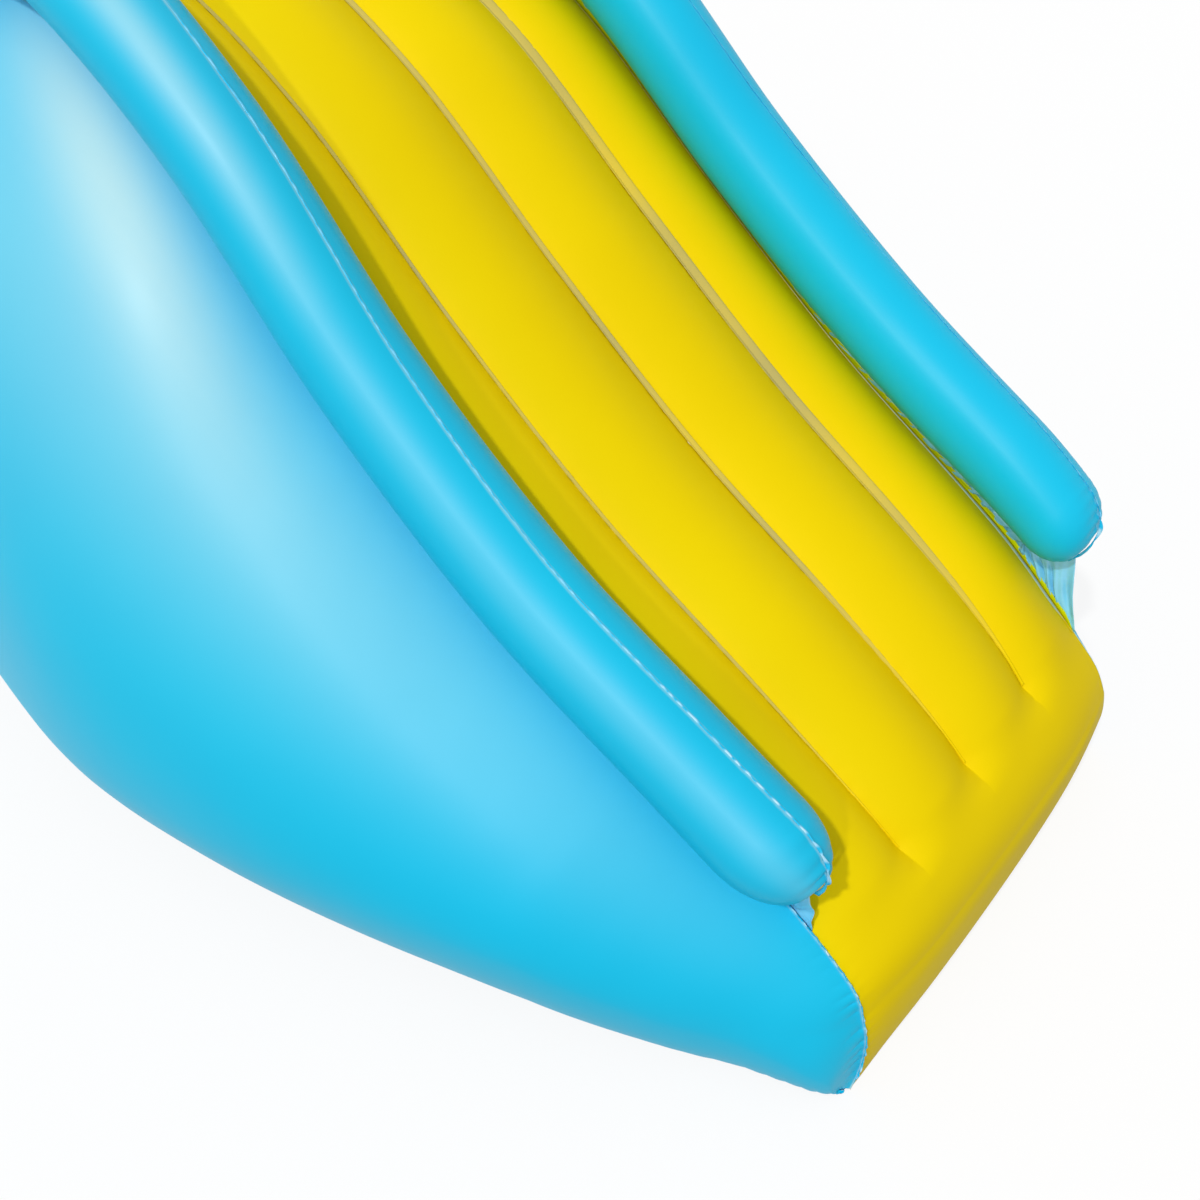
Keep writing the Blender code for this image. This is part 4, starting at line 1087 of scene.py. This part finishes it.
def build_steps():
    """Air-filled half-round treads, welded on the ladder film along a flat lip."""
    for k in range(STEP_COUNT):
        v = FIRST_STEP + k * HALF_ROW
        start, end = station(v - HALF_ROW / 2).centre, station(v + HALF_ROW / 2).centre
        along = (end - start).normalized()
        normal = Vector((0, -along.z, along.y))
        middle = (start + end) / 2 + normal * STEP_SEAT

        def tread(share, turn):
            side = 2 * share - 1
            lip = max(0.0, -turn, turn - math.pi) * STEP_LIP
            angle = max(0.0, min(math.pi, turn))
            swell = math.sqrt(1 - abs(side) ** STEP_END_POWER)
            width = STEP_HALF_WIDTH * (1 - STEP_TAPER_SHARE * side**STEP_TAPER_POWER)
            spot = middle - along * (width * math.cos(angle) + math.copysign(lip, math.cos(angle)))
            spot += normal * (STEP_HEIGHT * swell * math.sin(angle) + STEP_LIFT)
            return spot + Vector((side * STEP_HALF_LENGTH, 0, 0))

        def relief(share, turn, spot):
            if not 0 < turn < math.pi:
                return 0.0
            across = (0.5 - abs(share - 0.5)) * 2 * STEP_HALF_LENGTH
            foot = min(turn, math.pi - turn) * STEP_HALF_WIDTH
            ends = drawn_in(turn * STEP_HALF_WIDTH, across, 40 + k, *TREAD_END_CREASES)
            feet = drawn_in(spot.x, foot, 50 + k, *TREAD_FOOT_CREASES)
            return (ends + feet) * ramp(foot, 0, 0.006)

        columns = [0.5 - 0.5 * math.cos(math.pi * c / 120) for c in range(121)]
        rows = [-1.0, -0.5, *evenly(0, math.pi, 48), math.pi + 0.5, math.pi + 1.0]
        bm = film_sheet(columns, rows, tread, relief)
        made = piece(f"ladder_tread_{k + 1}", bm, YELLOW_VINYL, "yellow_film",
                     stands_for=[f"ladder_step_{k + 1}"], film=FILM)


# Ground sheet and baffles
def build_ground_cloth():
    """Coated ground cloth with a pressed weld rim, copied from the solid's outline."""
    bm = merged_copy("base_sheet")
    faces = [f for f in bm.faces if abs(f.normal.z) > 0.9]
    bmesh.ops.inset_region(bm, faces=faces, thickness=CLOTH_RIM, depth=0)
    soften(bm, FILM / 4, segments=1)
    piece("ground_cloth", bm, SCRIM, "base_film", stands_for=["base_sheet"], sharp=30)


def build_baffle(name, place):
    """Inner film wall from a groove down to the ground cloth."""
    def wall(share, v):
        top = station(v).centre - Vector((0, 0, 3 * FILM))
        foot = Vector((0, top.y, 2 * FILM))
        return foot.lerp(top, share) + Vector((place * groove_x(v), 0, 0))

    def relief(share, v, spot):
        height, pitch = BAFFLE_WAVE
        return height * math.sin(math.pi * share) * math.sin(math.tau * seam_run(v) / pitch)

    bm = film_sheet(evenly(0, 1, 16), evenly(*BAFFLE_ENDS, 160), wall, relief)
    piece(f"{name}_baffle_film", bm, WHITE_VINYL, "white_film", stands_for=[f"{name}_baffle"], film=FILM,
          centred=True)


# Handles
def swept(name, points, radii, finish, slot, **kwargs):
    """Round bar along points, each with its own radius share, made a mesh."""
    curve = bpy.data.curves.new(name, "CURVE")
    curve.dimensions = "3D"
    curve.bevel_depth = kwargs.pop("radius")
    curve.bevel_resolution = 8
    curve.use_fill_caps = True
    spline = curve.splines.new("POLY")
    spline.points.add(len(points) - 1)
    for spot, point, share in zip(spline.points, points, radii):
        spot.co = (*point, 1)
        spot.radius = share
    holder = bpy.data.objects.new(name, curve)
    bpy.context.collection.objects.link(holder)
    bpy.context.view_layer.update()
    bm = bmesh.new()
    bm.from_mesh(holder.to_mesh())
    bpy.data.objects.remove(holder)
    bpy.data.curves.remove(curve)
    bmesh.ops.remove_doubles(bm, verts=bm.verts, dist=MERGE_DISTANCE)
    return piece(name, bm, finish, slot, **kwargs)


def smooth_line(points, steps):
    """Points on a smooth curve through the given ones."""
    spans = [four_around(points, i) for i in range(len(points) - 1)]
    return [*(through(*span, k / steps) for span in spans for k in range(steps)), points[-1]]


def build_handle(name, side):
    """Moulded grip with finger waves, on domed feet and two curved patches that hug the rail."""
    feet = []
    around = PAD_WIDTH_SHARE * PATCH_WIDTH / (math.tau * RAIL_RADIUS)
    for end, row in zip(("front", "rear"), HANDLE_ROWS):
        seat = cell_seat(HANDLE_CELL, row, side, False, PATCH_THICKNESS + 2 * GAP)
        feet.append((seat.translation.copy(), seat.col[2].xyz.copy()))
        long = PAD_LENGTH_SHARE * PATCH_LENGTH / (station(row + 0.5).seam - station(row - 0.5).seam).length

        def lie(share, across):
            rounded = 0.5 + 0.5 * math.sqrt(max(0.0, 1 - abs(2 * share - 1) ** PAD_CORNER_POWER))
            turn = (HANDLE_CELL + 0.5) / RAIL_FACETS + (across - 0.5) * around * rounded
            return mirrored(round_rail_point(turn, row + (share - 0.5) * long, PAD_LIFT), side)

        def rim(share, across, spot):
            edge = min(share, 1 - share, across, 1 - across)
            return PAD_RIM * math.cos(math.pi * edge / 0.1) if edge < 0.2 else 0.0

        shares = evenly(0, 1, 40)
        bm = film_sheet(shares, shares, lie, rim, flip=side < 0)
        bm.normal_update()
        if sum(f.normal.z for f in bm.faces) < 0:
            bmesh.ops.reverse_faces(bm, faces=bm.faces)
        piece(f"{name}_handle_{end}_pad", bm, BLUE_VINYL, "blue_film",
              stands_for=[f"{name}_handle_{end}_patch"], film=PATCH_THICKNESS)
        dome = turned(HANDLE_FOOT_OUTLINE, 40)
        soften(dome, 0.0006)
        placed(dome, seat)
        piece(f"{name}_handle_{end}_foot", dome, SOFT_WHITE, "white_plastic")
    (start, up_start), (end, up_end) = feet
    points = []
    for t in evenly(0, 1, GRIP_LEGS):
        lean = up_start.lerp(up_end, t).normalized()
        rise = HANDLE_RISE * (1 - abs(2 * t - 1) ** HANDLE_ARCH_POWER)
        reach = 0.5 - 0.5 * math.cos(math.pi * t) if 0 < t < 1 else t
        points.append(start.lerp(end, reach) + lean * rise)
    points[1] = start + up_start * (points[1] - start).dot(up_start)
    points[-2] = end + up_end * (points[-2] - end).dot(up_end)
    line = smooth_line(points, 8)
    radii = [1 - GRIP_WAVE + GRIP_WAVE * math.cos(math.tau * GRIP_WAVES * x) * fade(x, GRIP_REACH)
             for x in evenly(-0.5, 0.5, len(line) - 1)]
    swept(f"{name}_handle_grip", line, radii, SOFT_WHITE, "white_plastic", radius=HANDLE_RADIUS,
          stands_for=[f"{name}_handle"])


# Valves
def keyhole(radius, reach, thickness):
    """Round plate with a hinge arm; the hinge line is at the origin and the plate lies along +X."""
    bm = bmesh.new()
    start = math.pi - math.asin(HINGE_WIDTH / 2 / radius)
    spots = [(0, -HINGE_WIDTH / 2), (0, HINGE_WIDTH / 2)]
    for k in range(ROUND_STEPS):
        angle = start - 2 * start * k / (ROUND_STEPS - 1)
        spots.append((reach + radius * math.cos(angle), radius * math.sin(angle)))
    face = bm.faces.new([bm.verts.new((x, y, 0)) for x, y in reversed(spots)])
    grown = bmesh.ops.extrude_face_region(bm, geom=[face])
    top = [item for item in grown["geom"] if isinstance(item, bmesh.types.BMVert)]
    bmesh.ops.translate(bm, verts=top, vec=(0, 0, thickness))
    bmesh.ops.recalc_face_normals(bm, faces=bm.faces)
    return bm


def build_valve(name, seat, flap=True):
    """Welded flange with a lipped neck, a plug cap on a moulded hinge and the check flap inside."""
    edge, top, neck, rise = FLANGE_RADIUS, FLANGE_THICKNESS, NECK_RADIUS, NECK_RISE
    base = turned([
        (BORE_RADIUS, -NECK_DEPTH), (neck, -NECK_DEPTH), (neck, -GAP), (edge - 0.0006, -GAP), (edge, 0.0004),
        (edge - 0.0004, top - 0.0004), (edge - 0.0022, top), (edge - 0.003, top - 0.0006),
        (edge - 0.0042, top - 0.0006), (edge - 0.005, top), (neck + 0.0012, top),
        (neck + 0.0003, top + 0.0009), (neck - 0.0003, rise * 0.6), (neck, rise * 0.75),
        (neck, rise - 0.0005), (neck - 0.0005, rise), (BORE_RADIUS + 0.0004, rise),
        (BORE_RADIUS, rise - 0.0004)])
    height = rise - GAP - top / 2
    lug = block((LUG_LENGTH, HINGE_WIDTH, height), (LUG_LENGTH / 2 - HINGE_REACH, 0, top / 2 + height / 2))
    soften(lug, VALVE_EDGE)
    placed(join(base, lug), seat)
    piece(f"{name}_neck", base, SOFT_WHITE, "white_plastic", stands_for=[f"{name}_base"])

    hinge = seat @ Matrix.Translation((-HINGE_REACH, 0, rise + GAP))
    cap = keyhole(CAP_RADIUS, HINGE_REACH, CAP_THICKNESS)
    soften(cap, VALVE_EDGE)
    plug = turned([(0, -PLUG_DEPTH), (PLUG_RADIUS - 0.0006, -PLUG_DEPTH), (PLUG_RADIUS, -PLUG_DEPTH * 0.6),
                   (PLUG_RADIUS, 0), (PLUG_RADIUS, CAP_THICKNESS / 2), (0, CAP_THICKNESS / 2)])
    low, high = CAP_THICKNESS - 0.0002, CAP_THICKNESS + 0.0005
    ring = turned([(CAP_RADIUS - 0.0042, low), (CAP_RADIUS - 0.0026, low), (CAP_RADIUS - 0.0028, high),
                   (CAP_RADIUS - 0.004, high)])
    placed(join(plug, ring), Matrix.Translation((HINGE_REACH, 0, 0)))
    pull = block((*PULL_SIZE, CAP_THICKNESS * 0.8),
                 (HINGE_REACH + CAP_RADIUS + PULL_REACH, 0, CAP_THICKNESS / 2))
    soften(pull, 0.0005)
    placed(join(cap, plug, pull), hinge)
    piece(f"{name}_lid", cap, SOFT_WHITE, "white_plastic", body=f"{name}_cap", stands_for=[f"{name}_cap"])
    if flap:
        disc = keyhole(FLAP_RADIUS, FLAP_REACH, FLAP_THICKNESS)
        soften(disc, 0.0002)
        join(disc, placed(turned(FLAP_BOSS_OUTLINE, 24), Matrix.Translation((FLAP_REACH, 0, 0))))
        placed(disc, seat @ Matrix.Translation((-FLAP_REACH, 0, -NECK_DEPTH - GAP - FLAP_THICKNESS)))
        piece(f"{name}_check_flap", disc, SOFT_WHITE, "white_plastic", body=f"{name}_flap",
              stands_for=[f"{name}_flap"])


# Spray pipe, spigot and nut
def build_spray_pipe():
    """Water pipe across the bed's top with its jets and straps, bent back to its hose fitting."""
    normal = upward(PIPE_ROW, "centre")
    crown = CHANNEL_CROWN * ramp(BED_TOP - PIPE_ROW, 0, TOP_FADE)
    level = station(PIPE_ROW).centre + normal * (PIPE_SEAT_SHARE * crown + PIPE_RADIUS + GAP)
    bend_start = PIPE_HALF_LENGTH - PIPE_BEND
    points = [level + Vector((x, 0, 0)) for x in evenly(-PIPE_HALF_LENGTH, bend_start, 30)]
    points[1] = points[0] + Vector((PIPE_END_ROUND, 0, 0))
    corner = level + Vector((bend_start, PIPE_BEND, 0))
    for angle in evenly(0, math.radians(90), 18)[1:]:
        points.append(corner + PIPE_BEND * Vector((math.sin(angle), -math.cos(angle), 0)))
    end = points[-1] + Vector((0, PIPE_TAIL, 0))
    points.append(end)
    swept("spray_tube", points, [0.55, *[1.0] * (len(points) - 1)], SOFT_WHITE, "white_plastic",
          radius=PIPE_RADIUS, stands_for=["spray_pipe"])

    jets = bmesh.new()
    aim = (normal * 0.8 - Vector((0, 0.6, 0))).normalized()
    seat = aim.to_track_quat("Z", "Y").to_matrix().to_4x4()
    for x in evenly(JET_INSET - PIPE_HALF_LENGTH, bend_start - JET_INSET, JET_COUNT - 1):
        seat.translation = level + Vector((x, 0, 0)) + aim * PIPE_RADIUS
        join(jets, placed(turned(JET_OUTLINE, 20), seat))
    piece("spray_jets", jets, FIRM_BLUE, "blue_plastic")

    for name, x in STRAP_PLACES.items():
        def strap(share, across):
            angle = math.tau * STRAP_SHARE * (share - 0.5)
            around = normal * math.cos(angle) - Vector((0, 1, 0)) * math.sin(angle)
            return level + Vector((x + across, 0, 0)) + around * (PIPE_RADIUS + STRAP_LIFT)

        bm = film_sheet(evenly(0, 1, 24), evenly(-STRAP_HALF_WIDTH, STRAP_HALF_WIDTH, 6), strap)
        bmesh.ops.recalc_face_normals(bm, faces=bm.faces)
        piece(f"pipe_strap_{name}", bm, YELLOW_WELD, "yellow_film", film=FILM, centred=True)
    build_hose_fitting(end)


def build_hose_fitting(end):
    """Barbed spigot on the pipe's end, and the ribbed nut that turns round it."""
    axis = Matrix.Translation(end + Vector((0, GAP, 0))) @ Matrix.Rotation(math.radians(-90), 4, "X")
    barbs = []
    for k in range(BARB_COUNT):
        low = COLLAR_LENGTH + (SPIGOT_LENGTH - COLLAR_LENGTH) * (0.36 + 0.16 * k)
        barbs += [(SPIGOT_RADIUS, low), (SPIGOT_RADIUS - BARB_DEPTH, low + BARB_LENGTH)]
    spigot = turned([(SPIGOT_BORE, 0), (COLLAR_RADIUS - 0.0004, 0), (COLLAR_RADIUS, 0.0004),
                     (COLLAR_RADIUS, COLLAR_LENGTH - 0.0004), (COLLAR_RADIUS - 0.0004, COLLAR_LENGTH),
                     (SPIGOT_RADIUS - BARB_DEPTH, COLLAR_LENGTH), *barbs,
                     (SPIGOT_RADIUS - 0.0012, SPIGOT_LENGTH), (SPIGOT_BORE, SPIGOT_LENGTH)])
    piece("barbed_spigot", placed(spigot, axis), SOFT_WHITE, "white_plastic", stands_for=["hose_spigot"])

    nut = turned([(NUT_BORE, 0), (NUT_RADIUS - 0.0008, 0), (NUT_RADIUS, 0.0008),
                  (NUT_RADIUS, NUT_LENGTH * 0.5), (NUT_RADIUS, NUT_LENGTH - 0.0012),
                  (NUT_RADIUS - 0.0012, NUT_LENGTH), (NUT_BORE, NUT_LENGTH)], NUT_RIBS * 12)
    for vert in nut.verts:
        radius = math.hypot(vert.co.x, vert.co.y)
        if radius > NUT_RADIUS - 0.0001:
            rib = RIB_HEIGHT * (0.5 + 0.5 * math.cos(NUT_RIBS * math.atan2(vert.co.y, vert.co.x))) ** 0.6
            vert.co.x *= (radius + rib) / radius
            vert.co.y *= (radius + rib) / radius
    placed(nut, axis @ Matrix.Translation((0, 0, COLLAR_LENGTH + GAP)))
    piece("ribbed_nut", nut, FIRM_BLUE, "blue_plastic", body="hose_nut", stands_for=["hose_nut"])


# Tie-down tabs and eyelets
def build_tie_down(name):
    """Reinforced film tab with a rounded rim, and its two-part pressed eyelet."""
    bm = merged_copy(f"{name}_tab")
    soften(bm, TAB_EDGE, angle=60)
    piece(f"{name}_tab_film", bm, BLUE_VINYL, "blue_film", stands_for=[f"{name}_tab"], sharp=30)

    low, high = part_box(f"{name}_eyelet")
    middle = (low + high) / 2
    bore, wide, top = EYELET_BORE, (high.x - low.x) / 2, high.z
    lip = top + EYELET_LIP
    eyelet = turned([(bore, low.z), (bore + 0.0015, low.z), (bore + 0.0015, top - 0.0006),
                     (wide - 0.0004, top - 0.0006), (wide, top - 0.0002), (wide - 0.0012, top + 0.0004),
                     (bore + 0.0024, lip), (bore + 0.0008, lip - 0.0002), (bore, top)])
    bmesh.ops.translate(eyelet, vec=(middle.x, middle.y, 0), verts=eyelet.verts)
    piece(f"{name}_eyelet_ring", eyelet, BRASS, "brass", stands_for=[f"{name}_eyelet"])


# Studio
def build_studio():
    """White floor and sky, two lamps from the left of the picture, and the photograph's camera."""
    scene = bpy.context.scene
    scene.view_settings.view_transform = "Standard"
    build_floor(scene)
    build_sky(scene)
    for name, (azimuth, elevation, strength, size) in LAMPS.items():
        lamp = bpy.data.lights.new(name, "SUN")
        lamp.energy = strength
        lamp.angle = math.radians(size)
        hung = bpy.data.objects.new(name, lamp)
        a, e = math.radians(azimuth), math.radians(elevation)
        towards = Vector((math.sin(a) * math.cos(e), -math.cos(a) * math.cos(e), math.sin(e)))
        hung.rotation_euler = towards.to_track_quat("Z", "Y").to_euler()
        scene.collection.objects.link(hung)

    lens = bpy.data.cameras.new("studio_camera")
    lens.lens = CAMERA_LENS
    lens.sensor_width = CAMERA_SENSOR
    camera = bpy.data.objects.new("studio_camera", lens)
    camera.location = CAMERA_PLACE
    camera.rotation_euler = (math.radians(CAMERA_TILT), 0, math.radians(CAMERA_TURN))
    scene.collection.objects.link(camera)
    scene.camera = camera


def seen_rays(tree):
    """One on the rays that show the ground to the camera, straight or by gloss or film; else nothing."""
    path = add(tree, "ShaderNodeLightPath")
    sharp = add(tree, "ShaderNodeMath", {0: path.outputs["Is Camera Ray"], 1: path.outputs["Is Glossy Ray"]},
                operation="MAXIMUM")
    seen = add(tree, "ShaderNodeMath", {0: sharp.outputs[0], 1: path.outputs["Is Transmission Ray"]},
               operation="MAXIMUM")
    return seen.outputs[0]


def build_floor(scene):
    """Matt paper floor that looks white and throws back the light of a grey one."""
    floor = bmesh.new()
    bmesh.ops.create_grid(floor, x_segments=1, y_segments=1, size=FLOOR_SIZE)
    bmesh.ops.translate(floor, vec=(0, 0, -FLOOR_DROP), verts=floor.verts)
    mesh = bpy.data.meshes.new("studio_floor")
    floor.to_mesh(mesh)
    floor.free()
    made, tree, shader = new_material("white_paper_floor")
    shader.inputs["Roughness"].default_value = 0.9
    seen = seen_rays(tree)
    paper = add(tree, "ShaderNodeMix", {0: seen, 6: linear("#8C8C8C"), 7: linear("#F8F8F8")},
                data_type="RGBA")
    tree.links.new(paper.outputs[2], shader.inputs["Base Color"])
    share = add(tree, "ShaderNodeMath", {0: seen, 1: FLOOR_GLOW}, operation="MULTIPLY")
    glow = add(tree, "ShaderNodeEmission", {"Color": (1, 1, 1, 1), "Strength": 1.0})
    blend = add(tree, "ShaderNodeMixShader", {0: share.outputs[0], 1: shader.outputs[0], 2: glow.outputs[0]})
    tree.links.new(blend.outputs[0], tree.nodes["Material Output"].inputs["Surface"])
    mesh.materials.append(made)
    ground = bpy.data.objects.new("studio_floor", mesh)
    scene.collection.objects.link(ground)


def build_sky(scene):
    """White sky, of which the object gets a plain share of light."""
    world = bpy.data.worlds.new("white_sky")
    scene.world = world
    world.use_nodes = True
    tree = world.node_tree
    level = add(tree, "ShaderNodeMapRange", {0: seen_rays(tree), 3: SKY_LEVEL, 4: 1.0})
    back = tree.nodes["Background"]
    back.inputs["Color"].default_value = (1, 1, 1, 1)
    tree.links.new(level.outputs[0], back.inputs["Strength"])


build_bed()
build_groove_welds()
build_bed_edge_welds()
build_seam_flanges()
for name, side in SIDES:
    build_side_panel(name, side)
    build_rail(name, side)
    build_rail_flange(name, side)
    build_web(name, side)
    build_handle(name, side)
    build_valve(f"{name}_rail_valve", rail_valve_seat(side))
build_ladder_panel()
build_crest_weld()
build_steps()
build_ground_cloth()
for name, place in reversed(GROOVES):
    build_baffle(name, place)
build_valve("body_valve", ladder_valve_seat(1))
build_valve("drain", ladder_valve_seat(-1), flap=False)
build_spray_pipe()
for end in ("front", "rear"):
    for name in ("left", "right"):
        build_tie_down(f"{end}_{name}")
build_studio()
